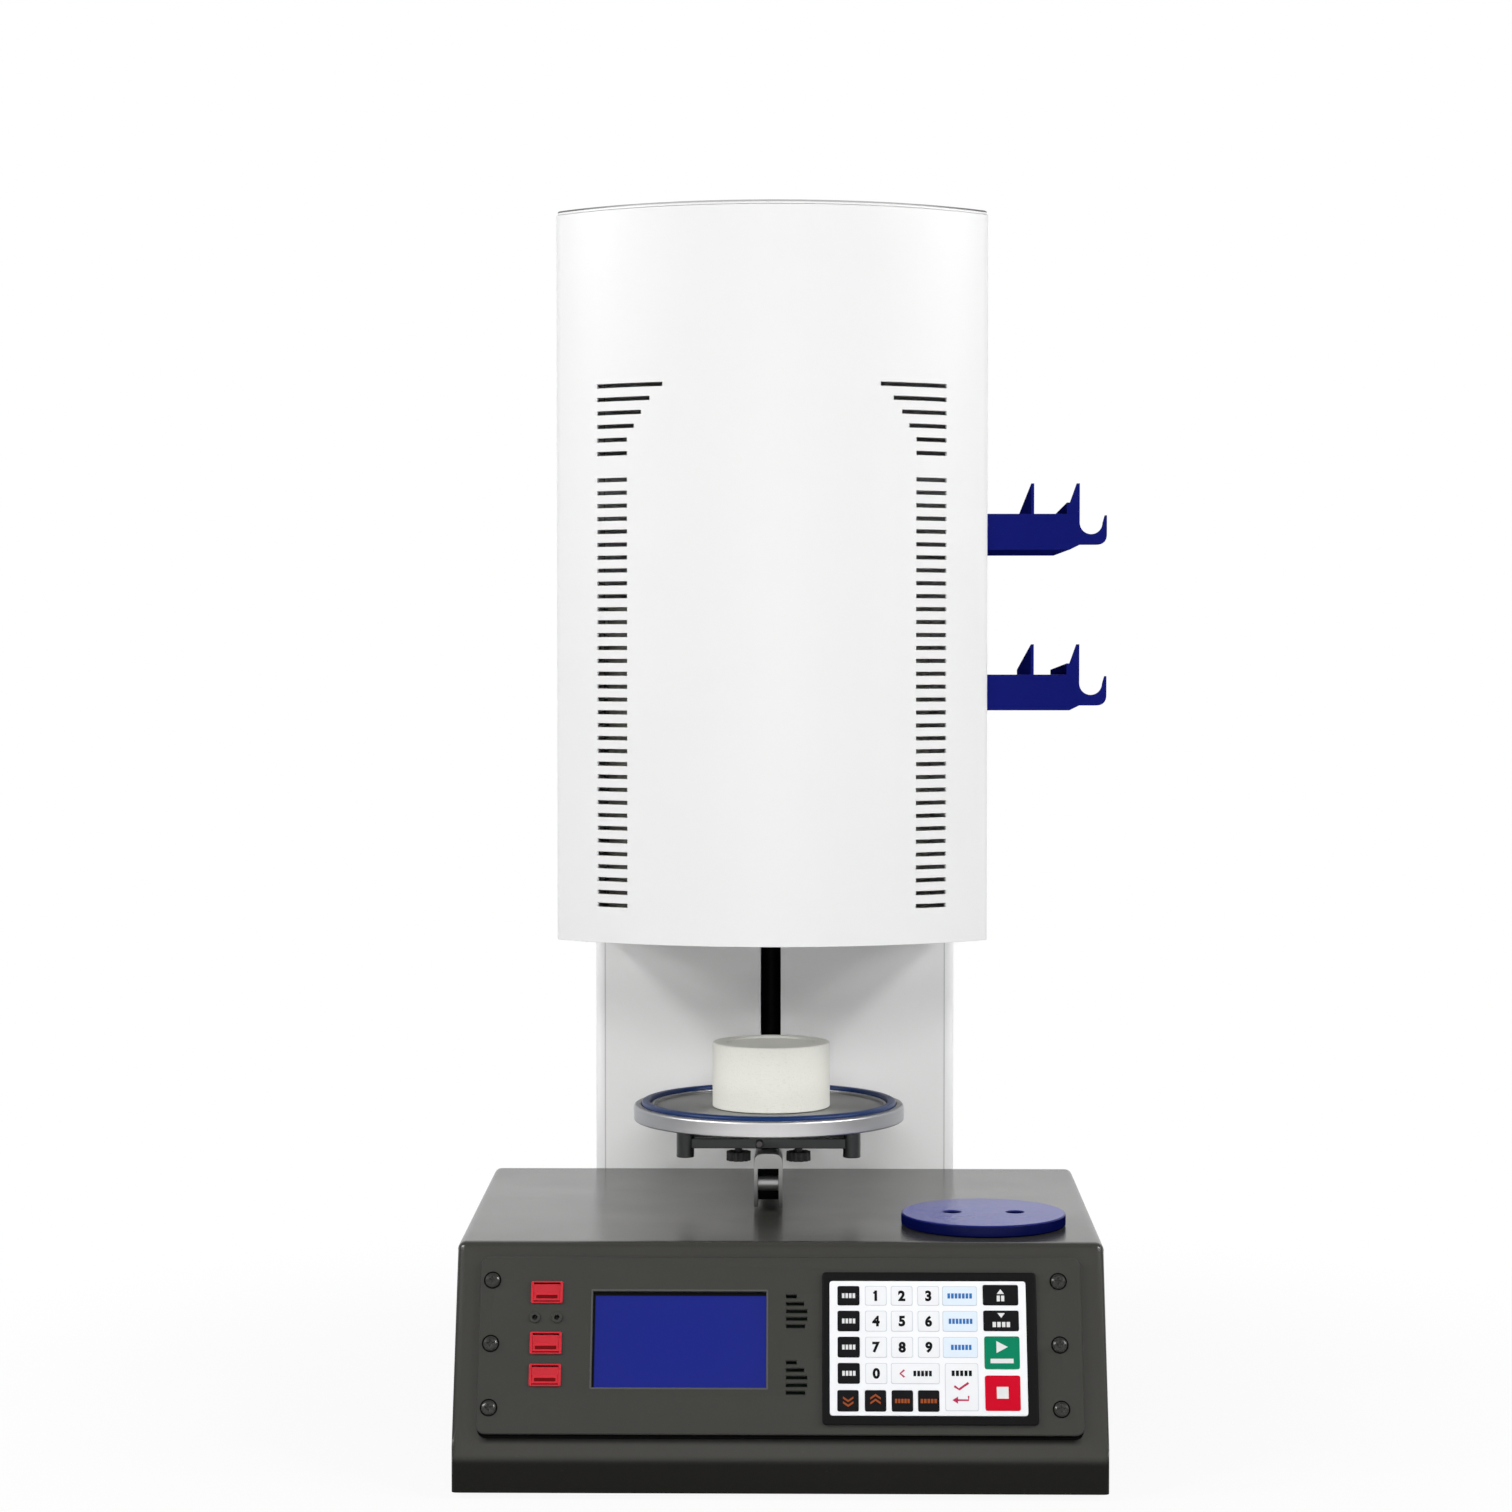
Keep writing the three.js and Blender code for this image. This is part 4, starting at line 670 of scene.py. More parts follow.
def make_screen():
    """A lit blue display, black and unlit along its top and its left as a painted shadow, with a slow glow
    and faint dots.
    """
    finish = Finish("screen")
    centred = finish.vector("SUBTRACT", finish.where, tuple(placed(on_panel(WINDOW_X, WINDOW_Y, 0.0))))
    far = finish.length(finish.vector("MULTIPLY", centred, (14.0, 20.0, 24.0)))
    edge = finish.ramp(finish.sum_of(far, finish.noise(16.0, Detail=1.0), 0.8), 0.5, 1.7)
    # Painted shadow: black and unlit along the top and the left
    top = float(placed(on_panel(0.0, WINDOW_HIGH - SCREEN_SHADE_TOP, 0.0))[2])
    under = finish.math("LESS_THAN", finish.place["Z"], top)
    right = finish.math("GREATER_THAN", finish.place["X"], placed_at(0, WINDOW_LEFT + SCREEN_SHADE_LEFT))
    field = finish.product(under, right)
    return finish.done(
        finish.cells(1600.0), 0.002, Base_Color=finish.mix(field, rgb(0.001), rgb(0.002, 0.003, 0.02)),
        Emission_Color=finish.mix(edge, rgb(0.006, 0.013, 0.205), rgb(0.009, 0.016, 0.19)),
        Emission_Strength=field, Roughness=0.3, Specular_IOR_Level=0.15)


def make_quartz():
    """Milky fused quartz with slow waves."""
    finish = Finish("quartz")
    skin = finish.coat(rgb(0.72, 0.73, 0.73), 0.15, 0.3, 0.15, 300.0, 20.0)
    return finish.done(skin["Height"], 0.05, Base_Color=skin["Color"], Roughness=skin["Roughness"],
                       Coat_Weight=0.3, Coat_Roughness=0.1)


PAINTS = {
    # Colour, roughness, scale and depth of the grain, drift of the tone, and gleam where it isn't 0.5
    "panel_paint": (rgb(0.036, 0.036, 0.032), 0.42, 1600.0, 0.012, 0.1, 0.3),
    # Lighter than the panel paint: a painted highlight on the window's lip
    "lip_paint": (rgb(0.07, 0.07, 0.068), 0.42, 1600.0, 0.012, 0.1, 0.4),
    "white_paint": (WHITE_PAINT, 0.4, 1300.0, 0.012, 0.02),
    "black_plastic": (rgb(0.0045, 0.0045, 0.005), 0.5, 2200.0, 0.02, 0.2, 0.12),
    "knob_grey": (rgb(0.045), 0.5, 1500.0, 0.03, 0.3, 0.4),
    "red_plastic": (rgb(0.54, 0.022, 0.034), 0.4, 1800.0, 0.01, 0.12, 0.25),
    "red_shade": (rgb(0.13, 0.002, 0.003), 0.5, 1800.0, 0.01, 0.2, 0.1),
    "foil_white": (rgb(0.84, 0.85, 0.87), 0.42, 2400.0, 0.008, 0.02, 0.3),
    "key_white": (rgb(0.80, 0.81, 0.83), 0.38, 2400.0, 0.006, 0.02, 0.3),
    "key_sky": (rgb(0.70, 0.79, 0.88), 0.38, 2400.0, 0.006, 0.02, 0.3),
    "key_line": (rgb(0.52, 0.56, 0.61), 0.4, 2400.0, 0.006, 0.02, 0.2),
    "key_green": (rgb(0.003, 0.20, 0.10), 0.38, 2400.0, 0.006, 0.08, 0.1),
    "key_red": (rgb(0.56, 0.003, 0.020), 0.38, 2400.0, 0.006, 0.08, 0.1),
    "print_black": (rgb(0.006, 0.006, 0.007), 0.42, 2400.0, 0.006, 0.2, 0.1),
    "print_white": (rgb(0.70), 0.42, 2400.0, 0.004, 0.02),
    "print_blue": (rgb(0.035, 0.15, 0.42), 0.42, 2400.0, 0.004, 0.1, 0.1),
    "print_red": (rgb(0.45, 0.03, 0.09), 0.42, 2400.0, 0.004, 0.1, 0.1),
    "print_orange": (rgb(0.30, 0.07, 0.02), 0.42, 2400.0, 0.004, 0.1, 0.1),
    "rubber": (rgb(0.012, 0.012, 0.013), 0.82, 1500.0, 0.05, 0.3),
    # Black for the painted shadow strip below the panel, the painted shade rings round the screw heads, and
    # the jacks' rims
    "gasket_rubber": (rgb(0.002), 0.9, 1500.0, 0.03, 0.3, 0.05),
    "blue_silicone": (rgb(0.002, 0.022, 0.105), 0.4, 900.0, 0.02, 0.2, 0.3),
    "black_steel": (rgb(0.075, 0.078, 0.078), 0.34, 1400.0, 0.015, 0.4),
    # Near black on the parts behind the column's slot: painted shade that keeps the slot dark
    "oiled_steel": (rgb(0.006, 0.006, 0.0065), 0.55, 1400.0, 0.01, 0.3),
    "screw_steel": (rgb(0.055, 0.055, 0.052), 0.3, 1400.0, 0.015, 0.3),
    "dull_steel": (rgb(0.24, 0.22, 0.225), 0.5, 1400.0, 0.015, 0.2),
    "alumina": (rgb(0.82, 0.78, 0.69), 0.6, 900.0, 0.02, 0.06),
    "circuit_board": (rgb(0.003, 0.02, 0.008), 0.6, 600.0, 0.05, 0.3),
}
WEAR = {
    "panel_paint": {"scratches": 0.05}, "white_paint": {"drift": 0.1, "dust": 0.04},
    "black_plastic": {"scratches": 0.05}, "rubber": {"dust": 0.1}, "blue_silicone": {"dust": 0.02},
    "black_steel": {"drift": 0.2, "scratches": 0.5, "metal": 0.9}, "oiled_steel": {"metal": 0.6},
    "screw_steel": {"drift": 0.2, "scratches": 0.3, "metal": 0.7}, "dull_steel": {"metal": 0.9},
    "circuit_board": {"cloud": 60.0},
}
METALS = {
    # Colour, roughness, and the squeeze and depth of the lines
    "aluminium": (rgb(0.60, 0.60, 0.61), 0.34, (600.0, 40.0, 900.0), 0.01),
    "steel": (rgb(0.56, 0.56, 0.57), 0.22, (900.0, 900.0, 30.0), 0.006),
    "satin_steel": (rgb(0.66), 0.42, (30.0, 900.0, 900.0), 0.006),
    "zinc_sheet": (rgb(0.48, 0.49, 0.50), 0.42, (30.0, 700.0, 700.0), 0.01),
    "brass": (rgb(0.60, 0.42, 0.17), 0.3, (900.0, 60.0, 900.0), 0.008),
}
BLUE_COATS = {
    # Colour of the sides and of the top, which differ as painted light, and gleam
    "blue_paint": (rgb(0.0055, 0.0085, 0.14), rgb(0.006, 0.008, 0.09), 0.08),
    "tray_coat": (rgb(0.002, 0.004, 0.055), rgb(0.025, 0.035, 0.32), 0.27),
}
finishes = {
    "grey_paint": make_console_paint(), "column_paint": make_column_paint(), "lid_paint": make_lid_paint(),
    "arm_metal": make_arm_metal(), "plate_metal": make_plate_metal(), "ceramic_fibre": make_fibre(),
    "screen": make_screen(), "quartz": make_quartz(),
    **{name: painted(name, *values, **WEAR.get(name, {})) for name, values in PAINTS.items()},
    **{name: bare_metal(name, *values) for name, values in METALS.items()},
    **{name: make_blue_coat(name, *values) for name, values in BLUE_COATS.items()},
}
finishes["foil"] = finishes["foil_white"]
NODE_SLOT = {part["node"]: part["material_slot"] for part in frame["record"]["subparts"]}


def dress_packed_nodes():
    """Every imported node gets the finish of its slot; the ones that a piece replaces are hidden later."""
    for name, node in frame["nodes"].items():
        finish = finishes[NODE_SLOT[name]]
        if not node.material_slots:
            node.data.materials.append(finish)
        for place in node.material_slots:
            place.material = finish


# Head
LID_INSET, LID_ROUND = HEAD_WALL / 2, 1.2
ARC_STEPS, STRAIGHT_END = 64, 20.0
VENT_OUTER, VENT_INNER = 111.5, 92.0
VENT_HEIGHT, VENT_LOWEST, VENT_PITCH, VENT_COUNT = 2.6, 24.3, 8.22, 34
FLARE_GAP, FLARE_PITCH, FLARE_LENGTH = 16.8, 8.6, 23.0
FLARE_SHARES = (0.0, 0.0, 0.2, 0.4, 0.64, 1.0)
BOTTOM_BAND, TOP_BAND, BAND_STEPS = 12.0, 20.0, 5
COVER_ROUND, COVER_SHARP, COVER_EDGE_ANGLE = 0.25, 60.0, 70.0


def head_front(x):
    """The bulged front: a circle through both side edges, so y is its centre less the root of R2 - x2."""
    return HEAD_ARC_Y - np.sqrt(HEAD_ARC_RADIUS ** 2 - np.asarray(x) ** 2)


def head_plan(extra_x=()):
    """The head's plan from the left rear round the front: straight side, rounded corner, arc, and back."""
    half = HEAD_WIDTH / 2
    sweep = math.asin(half / HEAD_ARC_RADIUS)
    along = HEAD_ARC_RADIUS * np.sin(np.linspace(-sweep, sweep, ARC_STEPS + 1)[1:-1])
    arc_x = np.unique(np.round(np.concatenate([along, extra_x]), 4))
    arc_x = arc_x[np.abs(arc_x) < half - HEAD_CORNER]
    corner_end = -half + HEAD_CORNER
    bend = curved(np.array([-half, HEAD_SIDE_Y + HEAD_CORNER]), np.array([-half, HEAD_SIDE_Y]),
                  np.array([corner_end, float(head_front(corner_end))]), 4)
    side = [[-half, y] for y in np.linspace(COLUMN_REAR, HEAD_SIDE_Y + STRAIGHT_END, BAND_STEPS)]
    left = np.concatenate([side, bend])
    plan = np.concatenate([left, np.column_stack([arc_x, head_front(arc_x)]), left[::-1] * [-1, 1]])
    return plan + [TOWER_X, 0.0]


def vent_rows():
    """Height and inner end of each vent row, from the lowest up to the flared ones."""
    rows = [(HEAD_BOTTOM + VENT_LOWEST + i * VENT_PITCH, VENT_INNER) for i in range(VENT_COUNT)]
    last = rows[-1][0]
    return rows + [(last + FLARE_GAP + i * FLARE_PITCH, VENT_INNER - share * FLARE_LENGTH)
                   for i, share in enumerate(FLARE_SHARES)]


def make_head_cover():
    """A sheet over plan and height whose cells are left open at the vents; its wall grows inwards."""
    rows = vent_rows()
    ends = sorted({end for _, end in rows} | {VENT_OUTER})
    plan = head_plan([side * end for end in ends for side in (-1, 1)])
    top = HEAD_TOP - LID_THICKNESS - SEAT_GAP
    cuts = [z + side * VENT_HEIGHT / 2 for z, _ in rows for side in (-1, 1)]
    upper = np.linspace(cuts[-1] + TOP_BAND, top, BAND_STEPS)
    heights = np.array(sorted([HEAD_BOTTOM, HEAD_BOTTOM + BOTTOM_BAND, *cuts, *upper]))
    across, up = np.meshgrid(np.arange(len(plan)), heights)
    points = np.stack([plan[across, 0], plan[across, 1], up], axis=-1).reshape(-1, 3)
    faces = grid_faces(len(heights), len(plan))
    centre = points[faces].mean(axis=1)
    reach = np.abs(centre[:, 0] - TOWER_X)
    at_front = (centre[:, 1] < HEAD_SIDE_Y) & (reach < VENT_OUTER)
    is_open = np.zeros(len(faces), dtype=bool)
    for height, end in rows:
        is_open |= (np.abs(centre[:, 2] - height) < VENT_HEIGHT / 2) & (reach > end) & at_front
    piece = add_piece("head_cover_sheet", (points, faces[~is_open].tolist()), "white_paint", "frame",
                      ("head_cover",), sharp=COVER_SHARP)
    wall = piece.modifiers.new("wall", "SOLIDIFY")
    wall.thickness = HEAD_WALL * MM
    wall.offset = -1.0
    wall.use_rim = True
    round_edges(piece, COVER_ROUND, 1, COVER_EDGE_ANGLE)


def make_head_lid():
    """The head's plan, a little smaller, carried up with a rounded upper edge."""
    outline = inset(head_plan(), LID_INSET)
    rear = COLUMN_REAR - LID_INSET
    outline[:, 1] = np.minimum(outline[:, 1], rear)
    outline[0], outline[-1] = (outline[1, 0], rear), (outline[-2, 0], rear)
    lid = crowned(outline, HEAD_TOP - LID_THICKNESS, HEAD_TOP, LID_ROUND)
    add_piece("head_lid_sheet", lid, "lid_paint", "frame", ("head_lid",))


# Lift plate and what it carries
RIM_RISE, GROOVE_CLEARANCE, GROOVE_DEPTH = 2.1, 0.4, 2.2
SEAL_STEPS, SEAL_POWER = 24, 0.6
BLOCK_RADIUS, BLOCK_HEIGHT, BLOCK_SHIFT = 39.5, 43.5, 1.6
BLOCK_DISH_RADIUS, BLOCK_DISH_DEPTH = 30.0, 1.2
PLATE_ROUNDS = (0, 1.1, 1.9, 0.4, 0.3, 0.3, 0.3, 0.6, 0.6, 0)
BLOCK_ROUNDS = (0, 1.0, 1.5, 0.4, 0.4, 0)
TURNED_SHARP, CORD_SHARP = 50.0, 80.0


def make_plate():
    """A turned profile: flat dish, raised rim with the seal's groove in it, and a rounded outer wall."""
    bottom, rim, floor = PLATE_TOP - PLATE_THICKNESS, PLATE_TOP + RIM_RISE, PLATE_TOP - GROOVE_DEPTH
    inner, outer = (SEAL_RADIUS + side * (SEAL_WIDTH / 2 + GROOVE_CLEARANCE) for side in (-1, 1))
    profile = rounded_path(
        [(0, bottom), (PLATE_RADIUS, bottom), (PLATE_RADIUS, rim), (outer, rim), (outer, floor),
         (inner, floor), (inner, rim), (DISH_RADIUS, rim), (DISH_RADIUS, PLATE_TOP), (0, PLATE_TOP)],
        PLATE_ROUNDS)
    add_piece("lift_plate_turned", turn(profile, AXIS), "plate_metal", "lift", ("lift_plate",),
              sharp=TURNED_SHARP)


def make_seal():
    """A superellipse, of cosine and sine raised to a power, carried round the plate in its groove."""
    angle = np.arange(SEAL_STEPS) / SEAL_STEPS * math.tau
    height = PLATE_TOP - GROOVE_DEPTH + SEAT_GAP + SEAL_HEIGHT / 2
    wide, high = (np.sign(wave) * np.abs(wave) ** SEAL_POWER for wave in (np.cos(angle), np.sin(angle)))
    section = np.stack([SEAL_RADIUS + SEAL_WIDTH / 2 * wide, height + SEAL_HEIGHT / 2 * high], -1)
    faces = grid_faces(SEAL_STEPS, ROUND_SIDES, round_rows=True, round_columns=True).tolist()
    cord = carried_round(section, AXIS, ROUND_SIDES), faces
    add_piece("seal_ring_cord", cord, "blue_silicone", "lift", ("seal_ring",),
              sharp=CORD_SHARP)


def make_firing_block():
    bottom = PLATE_TOP + SEAT_GAP
    top = bottom + BLOCK_HEIGHT
    floor = top - BLOCK_DISH_DEPTH
    profile = rounded_path(
        [(0, bottom), (BLOCK_RADIUS, bottom), (BLOCK_RADIUS, top), (BLOCK_DISH_RADIUS, top),
         (BLOCK_DISH_RADIUS - BLOCK_DISH_DEPTH, floor), (0, floor)], BLOCK_ROUNDS)
    add_piece("firing_block_pressed", turn(profile, (LIFT_X + BLOCK_SHIFT, AXIS_Y, 0.0)), "ceramic_fibre",
              "firing_block", ("firing_block",), sharp=TURNED_SHARP)


# Feet
FOOT_RADIUS, FOOT_TOP_RADIUS, FOOT_HEIGHT, FOOT_SIDES = 12.0, 10.5, 3.7, 40
FOOT_ROUNDS = (0, 0.9, 0.6, 0)
FEET = {"foot_front_left": (-168.0, 34.0), "foot_front_right": (168.0, 34.0),
        "foot_rear_left": (-100.25, 429.8), "foot_rear_right": (88.25, 429.8)}


def make_feet():
    profile = rounded_path([(0, 0), (FOOT_RADIUS, 0), (FOOT_TOP_RADIUS, FOOT_HEIGHT), (0, FOOT_HEIGHT)],
                           FOOT_ROUNDS)
    for node, (x, y) in FEET.items():
        foot = turn(profile, (x, y, 0.0), FOOT_SIDES)
        add_piece(f"{node}_moulded", foot, "rubber", "frame", (node,), sharp=TURNED_SHARP)


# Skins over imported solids
SIDE_ROUND, SIDE_STEPS, SIDE_MARGIN = 5.0, 4, 1.0
FADE_RISE, FADE_REACH = 4.0, 16.0
CUT_MERGE, EDGE_SLACK, SHEET_SLACK, PULL_FLOOR = 1e-7, 0.01, 0.05, 0.2
OUTER_SHARE, INNER_SHARE = 0.75, 1.5
PACKED_ROCKER_WIDTH, ROCKER_WIDTH = 15.9, 16.54
SKINS = [
    # Node, width of the round, body and steps of the round
    ("console_shell", 0.3, "frame", 2), ("front_panel", 0.35, "frame", 2),
    ("column_shell", 0.35, "frame", 2), ("column_rear_cover", 0.3, "frame", 1),
    ("head_rear_panel", 0.3, "frame", 1), ("head_floor", 0.3, "frame", 1),
    ("keypad_frame", 0.3, "frame", 2), ("plate_spider", 0.5, "lift", 2), ("lift_arm", 0.6, "lift", 3),
    ("lift_carriage", 0.5, "lift", 1), ("clamp_knob_left", 0.3, "clamp_knob_left", 1),
    ("clamp_knob_right", 0.3, "clamp_knob_right", 1), ("hub_screw", 0.15, "lift", 1),
    ("tong_holder_upper", 0.35, "frame", 2), ("tong_holder_lower", 0.35, "frame", 2),
    ("cooling_tray", 0.4, "tray", 2), ("mains_inlet", 0.3, "frame", 2), ("fuse_holder", 0.3, "frame", 2),
    ("power_transformer", 0.6, "frame", 1), ("arm_cross_pin", 0.4, "lift", 2),
    *((f"panel_screw_{i}", 0.15, "frame", 1) for i in range(1, 7)),
    *((f"switch_frame_{i}", 0.2, "frame", 2) for i in range(1, 4)),
    *((f"switch_rocker_{i}", 0.35, f"rocker_{i}", 3) for i in range(1, 4)),
    *((f"jack_{i}", 0.15, "frame", 1) for i in range(1, 3)),
    ("guide_rod_left", 0.2, "frame", 1), ("guide_rod_right", 0.2, "frame", 1),
    ("lift_spindle", 0.2, "spindle", 1),
]
SKIN_FINISHES = {
    "arm_cross_pin": "satin_steel", "column_shell": "column_paint", "lift_arm": "arm_metal",
    "hub_screw": "dull_steel", "cooling_tray": "tray_coat", "jack_1": "panel_paint", "jack_2": "panel_paint",
    "clamp_knob_left": "knob_grey", "clamp_knob_right": "knob_grey", "lift_spindle": "oiled_steel",
    "guide_rod_left": "oiled_steel", "guide_rod_right": "oiled_steel", "lift_carriage": "oiled_steel",
    **{f"panel_screw_{i}": "screw_steel" for i in range(1, 7)},
}


def drop_at(depth, radius):
    """A quarter circle's drop below the flat, at a depth in from the side: r - sqrt(r^2 - (r - depth)^2)."""
    short = radius - min(max(depth, 0.0), radius)
    return radius - math.sqrt(radius ** 2 - short ** 2)


def round_console_sides(mesh):
    """Cuts strips along the top's and slant's side edges and lowers them to a quarter circle, also inside.

    A last cut lies a margin beyond the round on each of its faces, so that the flats beyond it shade flat.
    """
    work = bmesh.new()
    work.from_mesh(mesh)
    taper = math.atan2((CONSOLE_REAR_WIDTH - CONSOLE_WIDTH) / 2, CONSOLE_DEPTH)
    slant_in = np.array([0.0, math.cos(FRONT_SLOPE), -math.sin(FRONT_SLOPE)])
    down = np.array([0.0, 0.0, -1.0])
    ridge = np.array([0.0, CONSOLE_SETBACK, CONSOLE_TOP])

    def cut(start, inward, depth):
        cells = [*work.verts, *work.edges, *work.faces]
        bmesh.ops.bisect_plane(work, geom=cells, dist=CUT_MERGE, plane_co=placed(start + inward * depth),
                               plane_no=inward)

    def drop_of(depth, below_top, below_slant, point):
        """How far a point on the outer or the inner side of the sheet goes down, or None elsewhere."""
        rear = np.array([point[1] - CONSOLE_DEPTH, point[2] - CONSOLE_TOP]) + CONSOLE_EDGE
        cover = CONSOLE_EDGE - math.hypot(*rear) if min(rear) > 0 else min(below_top, below_slant)
        if cover < CONSOLE_SHEET * OUTER_SHARE:
            return drop_at(depth, SIDE_ROUND)
        if cover < CONSOLE_SHEET * INNER_SHARE and depth > CONSOLE_SHEET - SHEET_SLACK:
            return drop_at(depth - CONSOLE_SHEET, SIDE_ROUND - CONSOLE_SHEET)
        return None

    for inward in (slant_in, down):
        cut(ridge, inward, SIDE_ROUND + SIDE_MARGIN)
    for side in (-1.0, 1.0):
        inward = np.array([-side * math.cos(taper), math.sin(taper), 0.0])
        start = np.array([side * CONSOLE_WIDTH / 2, 0.0, 0.0])
        for i in range(1, SIDE_STEPS + 1):
            cut(start, inward, SIDE_ROUND * (1.0 - math.cos(math.pi / 2 * i / SIDE_STEPS)))
        cut(start, inward, SIDE_ROUND + SIDE_MARGIN)
        for vertex in work.verts:
            point = np.array(vertex.co) / MM + FRAME_SHIFT
            depth = float((point - start) @ inward)
            if not -EDGE_SLACK < depth < SIDE_ROUND:
                continue
            below_top, below_slant = CONSOLE_TOP - point[2], float((point - ridge) @ slant_in)
            drop = drop_of(depth, below_top, below_slant, point)
            if drop is None:
                continue
            pull = down / (abs(below_top) + PULL_FLOOR) + slant_in / (abs(below_slant) + PULL_FLOOR)
            fade = min(max((point[2] - CONSOLE_FRONT_RISE - FADE_RISE) / FADE_REACH, 0.0), 1.0)
            drop *= fade * fade * (3.0 - 2.0 * fade)
            vertex.co = placed(point + pull / np.linalg.norm(pull) * drop)
    work.to_mesh(mesh)
    work.free()
    mesh.shade_smooth()
    mesh.set_sharp_from_angle(angle=math.radians(SHARP_ANGLE))


def make_skins():
    rocker_middle = placed_at(0, ROCKER_X)
    for node, width, body, steps in SKINS:
        slot = NODE_SLOT[node]
        skin = softened(node, width, finishes[SKIN_FINISHES.get(node, slot)], body, steps)
        if node == "console_shell":
            round_console_sides(skin.data)
        if node.startswith("switch_rocker"):
            for vertex in skin.data.vertices:
                off = vertex.co.x - rocker_middle
                vertex.co.x = rocker_middle + off * ROCKER_WIDTH / PACKED_ROCKER_WIDTH


# Trim on the panel
# A black strip below the panel's lower edge stands in for its shadow: painted shadow
SHADE_STRIP_WIDTH, SHADE_STRIP_BAND, SHADE_STRIP_BOTTOM, SHADE_STRIP_TOP = PANEL_WIDTH - 1.0, 5.5, 0.02, PANEL_FACE * 0.6
SHADE_STRIP_STEPS, LIP_OUTER_CORNER, LIP_INNER_CORNER = 6, 1.0, 0.2
LIP_GAP, LIP_BAND, LIP_RISE = 0.2, 1.0, 0.15
HAIR, ROOT = 0.05, 0.1
SCREW_RING, JACK_RING, RING_SIDES = (5.4, 4.6), (2.4, 1.5), 40
SCREW_RING_HEIGHTS, JACK_RING_HEIGHTS = (-ROOT, HAIR), (0.7, 0.86)
SCREW_PLACES = [(x, y) for x in (-179.5, 173.0) for y in (40.0, 0.5, -39.0)]
JACK_PLACES = [(ROCKER_X - 7.2, 16.7), (ROCKER_X + 6.5, 16.7)]


def ring_plate(outer, inner, bottom, top):
    """A flat ring between two outlines of as many points: outer wall, top, inner wall and bottom."""
    rings = [(outer, bottom), (outer, top), (inner, top), (inner, bottom)]
    points = [np.column_stack([outline, np.full(len(outline), height)]) for outline, height in rings]
    faces = grid_faces(len(rings), len(outer), round_rows=True, round_columns=True).tolist()
    return laid_on_panel((np.concatenate(points), faces))


def circle(radius, x, y):
    angle = np.arange(RING_SIDES) / RING_SIDES * math.tau
    return np.column_stack([x + radius * np.cos(angle), y + radius * np.sin(angle)])


def make_panel_trim():
    # A black strip showing below the panel's lower edge: painted shadow
    outer, inner = (rectangle(SHADE_STRIP_WIDTH - 2 * band, PANEL_HEIGHT - 2 * band, PANEL_CORNER, 0.0,
                              -SHADE_STRIP_DROP, SHADE_STRIP_STEPS) for band in (0.0, SHADE_STRIP_BAND))
    strip = ring_plate(outer, inner, SHADE_STRIP_BOTTOM, SHADE_STRIP_TOP)
    add_piece("panel_shade_strip", strip, "gasket_rubber", "frame")

    # The raised lip round the window is its bevel; its lighter paint is a painted highlight
    width, height = WINDOW_RIGHT - WINDOW_LEFT, WINDOW_HIGH - WINDOW_LOW
    outer, inner = (rectangle(width + 2 * reach, height + 2 * reach, radius, WINDOW_X, WINDOW_Y)
                    for reach, radius in ((LIP_GAP + LIP_BAND, LIP_OUTER_CORNER),
                                          (LIP_GAP, LIP_INNER_CORNER)))
    lip = ring_plate(outer, inner, PANEL_FACE - ROOT, PANEL_FACE + LIP_RISE)
    add_piece("window_lip", lip, "lip_paint", "frame")

    # Black rings round the screw heads are painted shade; those round the jacks are their rims
    rings = []
    for places, radii, bottom, top in ((SCREW_PLACES, SCREW_RING, *SCREW_RING_HEIGHTS),
                                       (JACK_PLACES, JACK_RING, *JACK_RING_HEIGHTS)):
        for place in places:
            outer, inner = (circle(radius, *place) for radius in radii)
            rings.append(ring_plate(outer, inner, PANEL_FACE + bottom, PANEL_FACE + top))
    add_piece("screw_shade_rings", joined(rings), "gasket_rubber", "frame")


# Keypad, across and up the panel
KEY_HEIGHT, KEY_RADIUS, BIG_KEY_RADIUS, LINE_WIDTH, LINE_HEIGHT = 0.28, 1.3, 1.6, 0.3, 0.168
SIGN_HEIGHT, DIGIT_SIZE, DIGIT_WEIGHT, DASH_SHARE = 0.06, 8.4, 0.42, 0.72
KEY_EDGE, FOIL_EDGE, FOIL_DEPTH = 0.1, 0.25, 0.9
FOIL_WIDTH, FOIL_HEIGHT, FOIL_X, FOIL_Y, FOIL_CORNER = 121.8, 83.1, 91.5, -2.0, 2.0
ROWS = (30.3, 14.55, -1.6, -17.75, -34.6)
SPANS = [(y - half, y + half) for y, half in zip(ROWS, (6.05, 6.4, 6.4, 6.4))]
DIGIT_X, HALF_KEY = (59.3, 75.4, 91.9), 6.7
DIGIT_SPANS = [(x - HALF_KEY, x + HALF_KEY) for x in DIGIT_X]
SOFT_KEYS = [(left, left + 13.2, -41.1, -28.0) for left in (35.2, 52.1, 68.6, 84.8)]
KEYS_BLACK = [*((35.5, 49.2, *span) for span in SPANS), *SOFT_KEYS,
              (125.7, 147.7, 24.5, 37.3), (125.8, 147.8, 8.5, 21.3)]
KEYS_LIGHT = [*((*across, *span) for span in SPANS[:3] for across in DIGIT_SPANS),
              (*DIGIT_SPANS[0], *SPANS[3]), (68.4, 98.3, *SPANS[3]), (101.6, 122.1, -40.6, -11.4)]
KEYS_SKY = [(100.6, 122.1, *span) for span in SPANS[:3]]
KEY_START, KEY_STOP = (126.1, 147.9, -15.0, 5.3), (126.1, 147.9, -40.5, -18.8)

